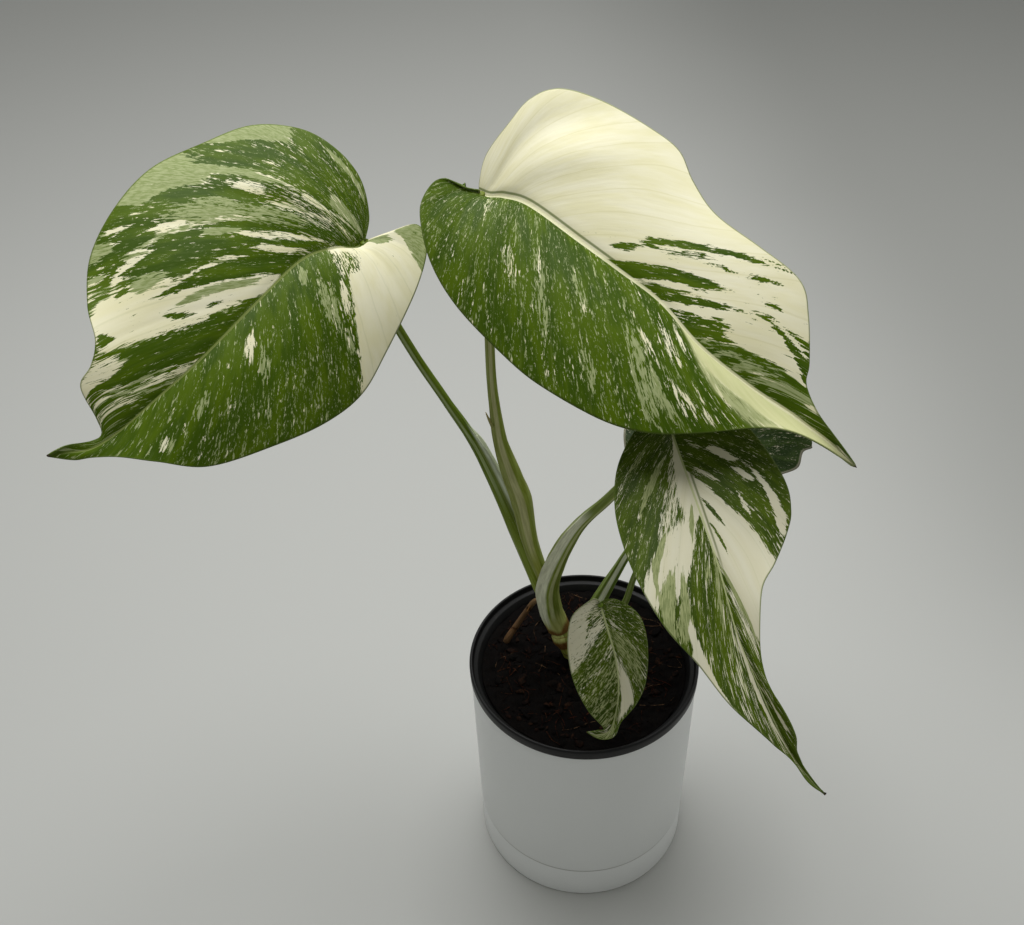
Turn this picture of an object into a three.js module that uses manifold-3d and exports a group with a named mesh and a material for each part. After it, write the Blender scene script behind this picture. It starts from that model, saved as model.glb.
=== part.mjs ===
// A potted variegated monstera: saucer, planter, nursery pot, soil, one short stem and six leaves.
// Millimetres, +Z up. The origin is the centre of the saucer's underside, on the table.
import * as THREE from 'three';
import { mergeVertices } from 'three/addons/utils/BufferGeometryUtils.js';
import Module from 'manifold-3d';

const wasm = await Module();
wasm.setup();

// Driving dimensions of the pot
const clearance = 0.3;
const roundSegments = 48;
const saucer = { outerRadius: 60, height: 25, wall: 2.6, floor: 3, edge: 1 };
const planter = { footRadius: 60.2, topRadius: 61.3, top: 134.7, wall: 2.6, floor: 3, footGap: 4 };
const planterDrain = { radius: 6, offset: 24, count: 4 };
const liner = { rimRadius: 62, rimTop: 141, rimWall: 1.6, ledge: 137.5, topRadius: 57.6 };
const linerBody = { wall: 1.6, footRadius: 45, floorTop: 14, soilTop: 133 };
const linerDrain = { radius: 4.5, offset: 26, count: 6 };

// Driving dimensions of the plant
const bladeThickness = 0.9;
const veinPull = 1.7;
const bendSpan = 0.42;
const waveShift = 1.5;
const finAngle = THREE.MathUtils.degToRad(38);

// Colours and finishes
const finishes = {
  planter: { color: 0xd9dbdb, roughness: 0.45, metalness: 0 },
  liner: { color: 0x17171a, roughness: 0.55, metalness: 0 },
  soil: { color: 0x1b120d, roughness: 0.95, metalness: 0 },
  petiole: { color: 0x7f9350, roughness: 0.5, metalness: 0 },
  stem: { color: 0xa9b07a, roughness: 0.55, metalness: 0 },
  root: { color: 0x6d4a33, roughness: 0.8, metalness: 0 },
  greenLeaf: { color: 0x3f6b1c, roughness: 0.4, metalness: 0 },
  creamLeaf: { color: 0xb9c68c, roughness: 0.4, metalness: 0 },
};

// Each leaf blade lies about a plane through base and tip, with its upper face turned towards face.
// midrib, left and right are [along, across] points in that plane, from the base to the tip.
// arch lifts the middle of the midrib; rise and camber bend the left and right halves;
// wave is the height and count of the margin's waves.
const leaves = [
  {
    name: 'leaf_left',
    base: [-94, 23, 389],
    tip: [-216, -62, 348],
    face: [0.22, -0.66, 0.71],
    arch: 10,
    rise: [0.2, 0.25],
    camber: [0.4, 0.35],
    wave: [1.5, 3],
    rows: 22,
    columns: 4,
    midrib: [[0, 0], [5, 0.3], [13, -4.2], [28, -7], [57, -1.5], [85, 4], [111, 7], [127.5, 8.5],
      [139, 7.5], [147.5, 3], [154, 0]],
    left: [[0, 0], [-10.5, 3], [-22.5, 7.2], [-21, 16.5], [-6, 29], [21, 43.5], [39.5, 51.5], [59.5, 52.5],
      [81.5, 48.5], [107.5, 40], [122.5, 27], [133, 16.5], [141, 10.5], [147, 7], [154, 0]],
    right: [[0, 0], [-8, -8], [-14, -22], [-13.5, -38], [-7, -53.5], [8.5, -66.5], [30.5, -71], [53, -73],
      [75, -66.5], [94.5, -55], [107, -38.5], [113, -24.5], [120, -17.5], [128, -13.5], [130.5, -1],
      [132.5, 5], [137, 5], [146, 1], [154, 0]],
    finish: 'greenLeaf',
  },
  {
    name: 'leaf_top',
    base: [-44, 11, 416],
    tip: [101, -67, 332],
    face: [0.2, -0.52, 0.83],
    arch: 8,
    rise: [0.42, 0.2],
    camber: [0.42, 0.45],
    wave: [1.8, 2.5],
    rows: 22,
    columns: 4,
    midrib: [[0, 0], [4, 1], [9, 4.5], [19, 7.5], [43.5, 6], [63.5, 5], [83, 4], [106, -1.5],
      [131, -2], [150, 0], [159, 0.5], [170.5, 1], [185, 0]],
    left: [[0, 0], [-3, 3.5], [-7, 13], [-7.5, 28.5], [-7, 42.5], [-0.5, 54.5], [16.5, 62], [39, 65],
      [53.5, 64.5], [65.5, 55.5], [81, 47.5], [102.5, 45], [123.5, 43.5], [134, 34], [145, 19], [149, 11.5],
      [159, 5.5], [169.5, 2.5], [185, 0]],
    right: [[0, 0], [-5.5, -4], [-15, -7.5], [-15.5, -17.5], [-11, -26], [2, -37], [20, -44.5], [45, -49],
      [65, -51], [91.5, -49.5], [110, -43], [125.5, -31.5], [141.5, -17], [153.5, -9], [171, -2.5], [185, 0]],
    finish: 'creamLeaf',
  },
  {
    name: 'leaf_lower',
    base: [29, -45, 340],
    tip: [76, -171, 264],
    face: [0.05, -0.5, 0.86],
    arch: 10,
    rise: [0.25, 0.25],
    camber: [0.45, 0.35],
    wave: [1.5, 3],
    rows: 22,
    columns: 3,
    midrib: [[0, 0], [21.5, -2.5], [41.5, -4.5], [62, -6.5], [87, -10], [104, -10], [122.5, -9], [137, -7],
      [147.5, -3.5], [154, 0]],
    left: [[0, 0], [-3, 10.5], [3.5, 21.5], [13, 28.5], [37.5, 33.5], [50.5, 31], [59, 25], [69, 14.5],
      [77.5, 4.5], [94.5, -3.5], [107.5, -6.5], [118, -6], [131, -4.5], [137.5, -5.5], [147.5, -2.5],
      [154, 0]],
    right: [[0, 0], [-5.5, -4], [-2, -13], [11, -27], [26, -34.5], [42, -37.5], [61.5, -38], [79, -35.5],
      [95.5, -29], [114, -23.5], [130.5, -13.5], [138, -8.5], [148, -4.8], [154, 0]],
    finish: 'greenLeaf',
  },
  {
    name: 'leaf_front',
    base: [6, -21, 206],
    tip: [-3, -61, 157],
    face: [0, -0.77, 0.64],
    arch: 4,
    rise: [0.2, 0.2],
    camber: [0.4, 0.4],
    wave: [0.8, 2],
    rows: 16,
    columns: 3,
    midrib: [[0, 0], [12, 5], [26, 10.5], [43, 13.5], [60, 12], [64.3, 6.3], [64, 0]],
    left: [[0, 0], [-3, 2.5], [-3, 9.5], [3.5, 20], [17.5, 25.5], [35, 26.5], [46, 23], [56, 16], [64, 13.5],
      [66.4, 7], [64, 0]],
    right: [[0, 0], [-2.5, -2.5], [-1, -6], [7.5, -13.5], [22, -14], [38.5, -9.5], [52, -1], [60.5, 8],
      [62, 5.2], [64, 0]],
    finish: 'greenLeaf',
  },
  {
    name: 'leaf_back',
    base: [62, -3, 281],
    tip: [96, 70, 310],
    face: [0.1, -0.4, 0.91],
    arch: 6,
    rise: [0.2, 0.2],
    camber: [0.35, 0.35],
    wave: [2, 2],
    rows: 16,
    columns: 3,
    midrib: [[0, 0], [23, -3.5], [49.5, -5], [86, 0]],
    left: [[0, 0], [-4, 7.5], [7, 18.5], [26, 24.5], [48.5, 25], [63, 19.5], [78.5, 10], [86, 0]],
    right: [[0, 0], [-6.5, -9], [-3, -19.5], [5.5, -28.5], [13, -34.5], [21.5, -34.5], [27.5, -38.5],
      [34.5, -33], [49.5, -23], [70, -14.5], [79.5, -7.5], [86, 0]],
    finish: 'greenLeaf',
  },
  {
    name: 'leaf_inner',
    base: [45, 17, 219],
    tip: [34, 81, 250],
    face: [-0.15, -0.45, 0.88],
    arch: 5,
    rise: [0.2, 0.2],
    camber: [0.35, 0.35],
    wave: [1.5, 2],
    rows: 14,
    columns: 3,
    midrib: [[0, 0], [20, 0], [42.5, 1], [71.5, 0]],
    left: [[0, 0], [-0.5, 9], [11, 14], [29.5, 15], [46, 13.5], [56.5, 11.5], [68, 6], [71.5, 0]],
    right: [[0, 0], [-1, -9], [11, -20.5], [31, -25.5], [49.5, -23], [65, -12.5], [71.5, 0]],
    finish: 'greenLeaf',
  },
];

// Every stalk is a route of [x, y, z, radius, fin]: the fins are the two edges of its sheath,
// either side of the channel that faces inward.
const stalks = {
  stem: {
    inward: [-1, 0, 0],
    route: [[-3, 11, 112, 5.2, 0], [-4, 10, 128, 5.4, 0], [-8, 8, 142, 5, 0], [-11, 8, 149, 6, 0],
      [-12, 9, 153, 5.2, 0], [-16, 11, 164, 4.4, 0], [-19, 12, 172, 3.4, 0]],
  },
  petiole_lower: {
    inward: [-0.8, 0.3, 0.5],
    route: [[-13, 10, 155, 6.2, 0], [-17, 9, 172, 5.8, 1], [-18, 7, 190, 5.2, 2.5], [-15, 3, 209, 4.6, 3],
      [-9, -2, 231, 3.6, 2], [-2, -8, 251, 2.8, 0.6], [9, -18, 275, 2.4, 0], [20, -31, 305, 2.1, 0],
      [29, -45, 340, 2, 0]],
    blade: 'leaf_lower',
  },
  petiole_left: {
    inward: [1, 0.1, 0.3],
    route: [[-19, 14, 172, 3.8, 0.5], [-24, 16, 187, 4.2, 2], [-34, 21, 219, 4.2, 3], [-44, 24, 250, 3.3, 3],
      [-51, 26, 269, 2.8, 2.6], [-56, 26, 281, 2.5, 0.6], [-65, 26, 300, 2.2, 0], [-78, 26, 328, 2.1, 0],
      [-89, 25, 358, 2, 0], [-94, 23, 389, 2, 0]],
    blade: 'leaf_left',
  },
  petiole_top: {
    inward: [-1, 0, 0.2],
    route: [[-17, 13, 170, 3.2, 0], [-21, 15, 189, 3.8, 0], [-27, 17, 213, 4.2, 0.5], [-31, 19, 241, 5.4, 1],
      [-35, 20, 257, 4.6, 1.4], [-40, 20, 279, 3.2, 1.2], [-42, 20, 299, 2.6, 0.8], [-43, 20, 318, 2.3, 0],
      [-43, 18, 360, 2.1, 0], [-44, 11, 416, 2.1, 0]],
    blade: 'leaf_top',
  },
  petiole_back: {
    inward: [-0.6, 0.2, 0.7],
    route: [[-6, 9, 138, 4.4, 0.5], [1, 10, 156, 4, 1.5], [9, 10, 175, 3.5, 1.5], [17, 10, 196, 2.6, 0.8],
      [26, 9, 219, 2, 0], [41, 6, 249, 1.8, 0], [54, 1, 268, 1.8, 0], [62, -3, 281, 1.8, 0]],
    blade: 'leaf_back',
  },
  petiole_inner: {
    inward: [-0.3, 0.2, 0.9],
    route: [[8, 19, 122, 2.2, 0], [13, 19, 138, 2.1, 0], [23, 17, 164, 1.8, 0], [28, 17, 187, 1.6, 0],
      [36, 17, 206, 1.5, 0], [45, 17, 219, 1.5, 0]],
    blade: 'leaf_inner',
  },
  petiole_front: {
    inward: [0, 0.6, 0.8],
    route: [[6, 15, 122, 2, 0], [7, 8, 143, 1.9, 0], [7, 0, 165, 1.7, 0], [7, -9, 186, 1.6, 0],
      [6, -21, 206, 1.5, 0]],
    blade: 'leaf_front',
  },
  aerial_root: {
    inward: [0, 0, 1],
    route: [[-22, 17, 170, 1.3, 0], [-26, 21, 163, 1.5, 0], [-31, 22, 153, 1.5, 0], [-36, 21, 144, 1.7, 0],
      [-41, 19, 136, 1.9, 0], [-43, 20, 127, 1.5, 0]],
  },
  scale: {
    inward: [0, 0, 1],
    route: [[-7, 5, 148, 1.6, 0], [-4.5, 3, 154, 1.3, 0], [-2.5, 2, 159, 0.9, 0], [-1, 2, 163, 0.4, 0]],
  },
};
const stalkSides = 12;
const ringsPerStep = 3;

// Soil surface: shallow lumps over a flat top
const soilRings = 9;
const soilLump = 0.9;

function solidOf(geometry) {
  const bare = geometry.clone();
  for (const name of Object.keys(bare.attributes)) {
    if (name !== 'position') bare.deleteAttribute(name);
  }
  const merged = mergeVertices(bare, 1e-4);
  return new wasm.Manifold(new wasm.Mesh({
    numProp: 3,
    vertProperties: new Float32Array(merged.attributes.position.array),
    triVerts: new Uint32Array(merged.index.array),
  }));
}

function geometryOf(solid) {
  const mesh = solid.getMesh();
  const geometry = new THREE.BufferGeometry();
  geometry.setAttribute('position', new THREE.BufferAttribute(mesh.vertProperties, 3));
  geometry.setIndex(new THREE.BufferAttribute(mesh.triVerts, 1));
  geometry.computeVertexNormals();
  return geometry;
}

function largestPiece(solid) {
  const pieces = solid.decompose();
  pieces.sort((a, b) => b.volume() - a.volume());
  return pieces[0];
}

function cutBy(solid, cutters) {
  let rest = solid;
  for (const cutter of cutters) {
    rest = rest.subtract(cutter);
  }
  return largestPiece(rest);
}

function meshOf(name, geometry, finish) {
  const material = new THREE.MeshStandardMaterial(finishes[finish]);
  material.side = THREE.FrontSide;
  const mesh = new THREE.Mesh(geometry, material);
  mesh.name = name;
  return mesh;
}

// A turned shell from a closed profile of [radius, height] points, run anticlockwise
function turned(profile) {
  const points = profile.map(([radius, height]) => new THREE.Vector2(radius, height));
  points.push(points[0].clone());
  const geometry = new THREE.LatheGeometry(points, roundSegments);
  geometry.rotateX(Math.PI / 2);
  return geometry;
}

// Upright drain holes, evenly spaced on a circle
function drainHoles({ radius, offset, count }, low, high) {
  const holes = [];
  for (let k = 0; k < count; k += 1) {
    const angle = (2 * Math.PI * k) / count;
    const hole = new THREE.CylinderGeometry(radius, radius, high - low, 16);
    hole.rotateX(Math.PI / 2);
    hole.translate(offset * Math.cos(angle), offset * Math.sin(angle), (low + high) / 2);
    holes.push(solidOf(hole));
  }
  return holes;
}

function saucerGeometry() {
  const { outerRadius, height, wall, floor, edge } = saucer;
  return turned([
    [0, 0],
    [outerRadius - edge, 0],
    [outerRadius, edge],
    [outerRadius, height],
    [outerRadius - wall, height],
    [outerRadius - wall, floor],
    [0, floor],
  ]);
}

// The planter's foot drops inside the saucer, and its wall stands on the saucer's edge
function planterSolid() {
  const { footRadius, topRadius, top, wall, floor, footGap } = planter;
  const skirtRadius = saucer.outerRadius - saucer.wall - clearance;
  const seat = saucer.height + clearance;
  const foot = saucer.floor + footGap;
  const shell = solidOf(turned([
    [0, foot],
    [skirtRadius - 1, foot],
    [skirtRadius, foot + 1],
    [skirtRadius, seat],
    [footRadius, seat],
    [topRadius, top - 0.6],
    [topRadius - 0.6, top],
    [topRadius - wall, top],
    [skirtRadius - wall, seat + 4],
    [skirtRadius - wall, foot + floor],
    [0, foot + floor],
  ]));
  return cutBy(shell, drainHoles(planterDrain, foot - 1, foot + floor + 1));
}

// The nursery pot hangs in the planter by its rolled rim
function linerSolid() {
  const { rimRadius, rimTop, rimWall, ledge, topRadius } = liner;
  const { wall, footRadius, floorTop } = linerBody;
  const rimUnder = planter.top + clearance;
  const shell = solidOf(turned([
    [0, floorTop - wall],
    [footRadius - 1, floorTop - wall],
    [footRadius, floorTop - wall + 1],
    [topRadius - 0.4, rimUnder],
    [rimRadius, rimUnder],
    [rimRadius, rimTop - 0.7],
    [rimRadius - 0.7, rimTop],
    [rimRadius - rimWall, rimTop],
    [rimRadius - rimWall - 0.6, ledge],
    [topRadius, ledge - 0.8],
    [topRadius - 0.4 - wall, rimUnder - 2],
    [footRadius - wall, floorTop],
    [0, floorTop],
  ]));
  return cutBy(shell, drainHoles(linerDrain, floorTop - wall - 1, floorTop + 1));
}

// Broad waves about 40 mm long with finer ones about 13 mm long on them
function soilHeight(x, y) {
  const broad = Math.sin(0.16 * x + 0.7) * Math.cos(0.14 * y - 0.4);
  const fine = Math.sin(0.47 * x - 0.21 * y) * Math.cos(0.41 * y + 0.17 * x);
  return linerBody.soilTop + soilLump * (broad + 0.7 * fine);
}

function soilSolid() {
  const { wall, footRadius, floorTop, soilTop } = linerBody;
  const low = floorTop + clearance;
  const lean = (liner.topRadius - 0.4 - footRadius) / (planter.top - 2 - floorTop);
  const innerRadius = (z) => footRadius - wall - clearance - 0.2 + lean * (z - floorTop);
  const profile = [[0, low], [innerRadius(low), low], [innerRadius(soilTop - 2), soilTop - 2]];
  for (let ring = soilRings; ring >= 0; ring -= 1) {
    profile.push([(innerRadius(soilTop) * ring) / soilRings, soilTop]);
  }
  const geometry = turned(profile.slice(0, -1).concat([[0, soilTop]]));
  const position = geometry.attributes.position;
  for (let k = 0; k < position.count; k += 1) {
    if (position.getZ(k) > soilTop - 1) {
      position.setZ(k, soilHeight(position.getX(k), position.getY(k)));
    }
  }
  return solidOf(geometry);
}

function stalkGeometry({ route, inward }, grow = 0) {
  const stops = route.map(([x, y, z]) => new THREE.Vector3(x, y, z));
  const path = new THREE.CatmullRomCurve3(stops, false, 'catmullrom');
  const steps = (route.length - 1) * ringsPerStep;
  const towards = new THREE.Vector3(...inward);
  const positions = [];
  const indices = [];
  for (let ring = 0; ring <= steps; ring += 1) {
    const t = ring / steps;
    const span = Math.min(Math.floor(t * (route.length - 1)), route.length - 2);
    const part = t * (route.length - 1) - span;
    const radius = THREE.MathUtils.lerp(route[span][3], route[span + 1][3], part) + grow;
    const fin = THREE.MathUtils.lerp(route[span][4], route[span + 1][4], part);
    const centre = path.getPoint(t);
    const along = path.getTangent(t).normalize();
    if (ring === 0) centre.addScaledVector(along, -grow);
    if (ring === steps) centre.addScaledVector(along, grow);
    const inner = towards.clone().addScaledVector(along, -towards.dot(along)).normalize();
    const side = new THREE.Vector3().crossVectors(along, inner);
    for (let k = 0; k < stalkSides; k += 1) {
      const angle = (2 * Math.PI * k) / stalkSides;
      const turn = Math.min(angle, 2 * Math.PI - angle);
      const onFin = Math.abs(turn - finAngle) < Math.PI / stalkSides;
      const reach = onFin ? radius + fin : radius;
      const point = centre.clone()
        .addScaledVector(inner, reach * Math.cos(angle))
        .addScaledVector(side, reach * Math.sin(angle));
      positions.push(point.x, point.y, point.z);
    }
  }
  for (let ring = 0; ring < steps; ring += 1) {
    for (let k = 0; k < stalkSides; k += 1) {
      const a = ring * stalkSides + k;
      const b = ring * stalkSides + ((k + 1) % stalkSides);
      indices.push(a, b, b + stalkSides, a, b + stalkSides, a + stalkSides);
    }
  }
  const last = steps * stalkSides;
  for (let k = 1; k < stalkSides - 1; k += 1) {
    indices.push(0, k + 1, k);
    indices.push(last, last + k, last + k + 1);
  }
  const geometry = new THREE.BufferGeometry();
  geometry.setAttribute('position', new THREE.Float32BufferAttribute(positions, 3));
  geometry.setIndex(indices);
  return geometry;
}

function bladeFrame({ base, tip, face }) {
  const origin = new THREE.Vector3(...base);
  const along = new THREE.Vector3(...tip).sub(origin);
  const length = along.length();
  along.normalize();
  const up = new THREE.Vector3(...face);
  up.addScaledVector(along, -up.dot(along)).normalize();
  const across = new THREE.Vector3().crossVectors(up, along);
  return { origin, along, across, up, length };
}

// Height of the blade over its plane: station runs from base to tip, gap is the distance from the
// midrib and share is that distance as a part of the half's width there
function bladeHeight(leaf, length, station, gap, share, half) {
  const bend = leaf.rise[half] * gap - (leaf.camber[half] * gap * gap) / (bendSpan * length);
  const phase = 2 * Math.PI * leaf.wave[1] * station + waveShift * half;
  return leaf.arch * Math.sin(Math.PI * station) + bend + leaf.wave[0] * share * share * Math.sin(phase);
}

// A closed thin blade: both faces carry the same triangles, offset along the blade's up direction
function bladeGeometry(leaf, grow = 0) {
  const { origin, along, across, up, length } = bladeFrame(leaf);
  const { rows, columns } = leaf;
  const curveOf = (points) => new THREE.SplineCurve(points.map(([x, y]) => new THREE.Vector2(x, y)));
  const midrib = curveOf(leaf.midrib);
  const margins = [curveOf(leaf.left), curveOf(leaf.right)];
  const half = bladeThickness / 2 + grow;
  const positions = [];
  const rowStarts = [];
  const pointAt = (row, column) => {
    const s = row / rows;
    const station = s ** veinPull;
    const halfIndex = column >= 0 ? 0 : 1;
    const share = Math.abs(column) / columns;
    const root = midrib.getPointAt(station);
    const edge = margins[halfIndex].getPointAt(s);
    const flat = root.clone().lerp(edge, share);
    const height = bladeHeight(leaf, length, station, flat.distanceTo(root), share, halfIndex);
    return origin.clone()
      .addScaledVector(along, flat.x)
      .addScaledVector(across, flat.y)
      .addScaledVector(up, height);
  };
  for (let row = 0; row <= rows; row += 1) {
    rowStarts.push(positions.length / 6);
    const reach = row === 0 || row === rows ? 0 : columns;
    for (let column = -reach; column <= reach; column += 1) {
      const point = pointAt(row, column);
      const top = point.clone().addScaledVector(up, half);
      const under = point.clone().addScaledVector(up, -half);
      positions.push(top.x, top.y, top.z, under.x, under.y, under.z);
    }
  }
  const indexAt = (row, column, layer) => {
    const inner = row > 0 && row < rows;
    return 2 * (rowStarts[row] + (inner ? column + columns : 0)) + layer;
  };
  const indices = [];
  const addTriangle = (a, b, c) => {
    if (a !== b && b !== c && c !== a) indices.push(a, b, c);
  };
  for (let row = 0; row < rows; row += 1) {
    for (let column = -columns; column < columns; column += 1) {
      const corners = [[row, column], [row + 1, column], [row + 1, column + 1], [row, column + 1]];
      const [a, b, c, d] = corners.map(([r, k]) => indexAt(r, k, 0));
      addTriangle(a, b, c);
      addTriangle(a, c, d);
      addTriangle(a + 1, c + 1, b + 1);
      addTriangle(a + 1, d + 1, c + 1);
    }
    for (const column of [columns, -columns]) {
      const a = indexAt(row, column, 0);
      const b = indexAt(row + 1, column, 0);
      const wall = column > 0 ? [a, b, b + 1, a + 1] : [b, a, a + 1, b + 1];
      addTriangle(wall[0], wall[1], wall[2]);
      addTriangle(wall[0], wall[2], wall[3]);
    }
  }
  const geometry = new THREE.BufferGeometry();
  geometry.setAttribute('position', new THREE.Float32BufferAttribute(positions, 3));
  geometry.setIndex(indices);
  geometry.computeVertexNormals();
  return geometry;
}

const group = new THREE.Group();

const leafByName = new Map(leaves.map((leaf) => [leaf.name, leaf]));
const stalkSolid = (name) => solidOf(stalkGeometry(stalks[name]));
const stalkRoom = (name) => solidOf(stalkGeometry(stalks[name], clearance));

// The dried scale grows from the stem's node; each sheath is cut back from what it wraps
const stemSolid = stalkSolid('stem').add(stalkSolid('scale'));
const stemRoom = stalkRoom('stem').add(stalkRoom('scale'));
const wraps = {
  petiole_lower: ['stem'],
  petiole_left: ['stem', 'petiole_lower'],
  petiole_top: ['stem', 'petiole_lower', 'petiole_left'],
  petiole_back: ['stem', 'petiole_lower'],
  petiole_inner: [],
  petiole_front: [],
  aerial_root: ['stem', 'petiole_lower', 'petiole_left', 'petiole_top'],
};

group.add(meshOf('saucer', saucerGeometry(), 'planter'));
group.add(meshOf('planter', geometryOf(planterSolid()), 'planter'));
group.add(meshOf('nursery_pot', geometryOf(linerSolid()), 'liner'));

const planted = ['petiole_inner', 'petiole_front', 'aerial_root'].map(stalkRoom);
group.add(meshOf('soil', geometryOf(cutBy(soilSolid(), [stemRoom, ...planted])), 'soil'));
group.add(meshOf('stem', geometryOf(stemSolid), 'stem'));

for (const [name, wrapped] of Object.entries(wraps)) {
  const cutters = wrapped.map((other) => (other === 'stem' ? stemRoom : stalkRoom(other)));
  const { blade } = stalks[name];
  if (blade) cutters.push(solidOf(bladeGeometry(leafByName.get(blade), clearance)));
  const finish = name === 'aerial_root' ? 'root' : 'petiole';
  group.add(meshOf(name, geometryOf(cutBy(stalkSolid(name), cutters)), finish));
}

for (const leaf of leaves) {
  group.add(meshOf(leaf.name, bladeGeometry(leaf), leaf.finish));
}

export default group;
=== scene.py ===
import math
import random

import bmesh
import bpy
import numpy as np
from mathutils import Matrix, Vector, noise


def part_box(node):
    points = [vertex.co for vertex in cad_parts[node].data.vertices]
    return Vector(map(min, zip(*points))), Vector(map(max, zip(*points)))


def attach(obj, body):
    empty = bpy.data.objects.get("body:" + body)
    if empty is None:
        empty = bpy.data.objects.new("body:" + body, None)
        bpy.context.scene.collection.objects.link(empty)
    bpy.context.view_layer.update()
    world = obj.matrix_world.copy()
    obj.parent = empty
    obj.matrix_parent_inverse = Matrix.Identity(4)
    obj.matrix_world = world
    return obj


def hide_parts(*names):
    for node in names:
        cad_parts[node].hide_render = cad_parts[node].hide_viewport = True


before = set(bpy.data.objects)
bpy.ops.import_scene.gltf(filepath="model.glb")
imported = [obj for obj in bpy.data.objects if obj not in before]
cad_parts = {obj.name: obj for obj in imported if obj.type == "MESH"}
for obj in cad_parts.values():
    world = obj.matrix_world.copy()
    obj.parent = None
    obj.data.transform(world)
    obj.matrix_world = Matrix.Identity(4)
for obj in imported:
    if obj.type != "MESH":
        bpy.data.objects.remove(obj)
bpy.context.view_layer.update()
mm = 0.001
scene = bpy.context.scene
print("frame loaded with", len(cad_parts), "nodes")


# Shader building: a wire is a socket that takes Python arithmetic
class Wire:
    def __init__(self, finish, socket):
        self.finish = finish
        self.socket = socket

    def worked(self, operation, first, second=0.0):
        return self.finish.node("ShaderNodeMath", {"operation": operation}, {0: first, 1: second})

    def __add__(self, other):
        return self.worked("ADD", self, other)

    def __sub__(self, other):
        return self.worked("SUBTRACT", self, other)

    def __rsub__(self, other):
        return self.worked("SUBTRACT", other, self)

    def __mul__(self, other):
        return self.worked("MULTIPLY", self, other)

    def __abs__(self):
        return self.worked("ABSOLUTE", self)

    def folded(self, span):
        return self.worked("PINGPONG", self, span)

    __radd__ = __add__
    __rmul__ = __mul__


class Finish:
    def __init__(self, name):
        self.material = bpy.data.materials.new(name)
        self.material.use_nodes = True
        self.tree = self.material.node_tree
        self.shader = self.tree.nodes["Principled BSDF"]

    def node(self, kind, settings=None, sockets=None, out=0):
        made = self.tree.nodes.new(kind)
        for key, value in (settings or {}).items():
            if key == "stops":
                self.fillRamp(made.color_ramp, value)
            else:
                setattr(made, key, value)
        for key, value in (sockets or {}).items():
            self.plug(made.inputs[key], value)
        return Wire(self, made.outputs[out])

    def fillRamp(self, ramp, stops):
        while len(ramp.elements) < len(stops):
            ramp.elements.new(0.5)
        for element, (place, colour) in zip(ramp.elements, stops):
            element.position = place
            element.color = colour

    def plug(self, socket, value):
        if isinstance(value, Wire):
            self.tree.links.new(value.socket, socket)
        else:
            socket.default_value = value

    def give(self, **sockets):  # Base_Color=wire goes to the shader's "Base Color"
        for key, value in sockets.items():
            self.plug(self.shader.inputs[key.replace("_", " ")], value)

    def attribute(self, name, out="Fac"):
        return self.node("ShaderNodeAttribute", {"attribute_name": name}, None, out)

    def place(self):
        return self.node("ShaderNodeTexCoord", None, None, "Object")

    def along(self, axis, vector):
        return self.node("ShaderNodeSeparateXYZ", None, {"Vector": vector}, axis)

    def stretched(self, vector, scale):
        return self.node("ShaderNodeMapping", None, {"Vector": vector, "Scale": scale})

    def grain(self, vector, scale, detail=3.0, roughness=0.55, distortion=0.0):
        return self.node("ShaderNodeTexNoise", None, {"Vector": vector, "Scale": scale, "Detail": detail,
                                                      "Roughness": roughness, "Distortion": distortion})

    def ramp(self, value, *stops):
        return self.node("ShaderNodeValToRGB", {"stops": stops}, {"Fac": value})

    def step(self, value, low, high):  # 0 below low, 1 above high, smooth between
        return self.node("ShaderNodeMapRange", {"interpolation_type": "SMOOTHSTEP"},
                         {"Value": value, "From Min": low, "From Max": high})

    def mix(self, factor, first, second):
        return self.node("ShaderNodeMix", {"data_type": "RGBA"}, {0: factor, 6: first, 7: second}, 2)

    def bump(self, height, distance, strength=1.0, under=None):
        sockets = {"Height": height, "Distance": distance, "Strength": strength}
        if under is not None:
            sockets["Normal"] = under
        return self.node("ShaderNodeBump", None, sockets)


def tone(red, green, blue):  # a display colour from 0 to 255 as the shader wants it
    parts = [c / 255 for c in (red, green, blue)]
    return tuple(c / 12.92 if c <= 0.04045 else ((c + 0.055) / 1.055) ** 2.4 for c in parts) + (1.0,)


# Mesh helpers
def smoothStep(low, high, value):
    t = np.clip((value - low) / (high - low), 0, 1)
    return t * t * (3 - 2 * t)


def meshOf(bm, name):
    mesh = bpy.data.meshes.new(name)
    bm.to_mesh(mesh)
    bm.free()
    return mesh


def added(name, data):
    thing = bpy.data.objects.new(name, data)
    scene.collection.objects.link(thing)
    return thing


def finished(name, bm, finishes, node):
    bm.normal_update()
    mesh = meshOf(bm, name)
    for polygon in mesh.polygons:
        polygon.use_smooth = True
    piece = added(name, mesh)
    for finish in finishes:
        mesh.materials.append(finish.material)
    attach(piece, "root")
    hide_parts(node)
    print(name, "has", len(mesh.polygons), "faces")
    return piece


def gridOf(bm, columns, rows):  # grid vertices with their column and row
    verts = bmesh.ops.create_grid(bm, x_segments=columns, y_segments=rows, size=1.0)["verts"]
    places = np.array([vert.co[:2] for vert in verts])
    column = np.rint((places[:, 0] + 1) / 2 * columns).astype(int)
    row = np.rint((places[:, 1] + 1) / 2 * rows).astype(int)
    return verts, column, row


def moveTo(verts, points):
    for vert, point in zip(verts, points):
        vert.co = point


def weld(bm, distance=2e-6):
    bmesh.ops.remove_doubles(bm, verts=bm.verts[:], dist=distance)


def pointOutwards(bm):
    bmesh.ops.recalc_face_normals(bm, faces=bm.faces[:])


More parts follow.
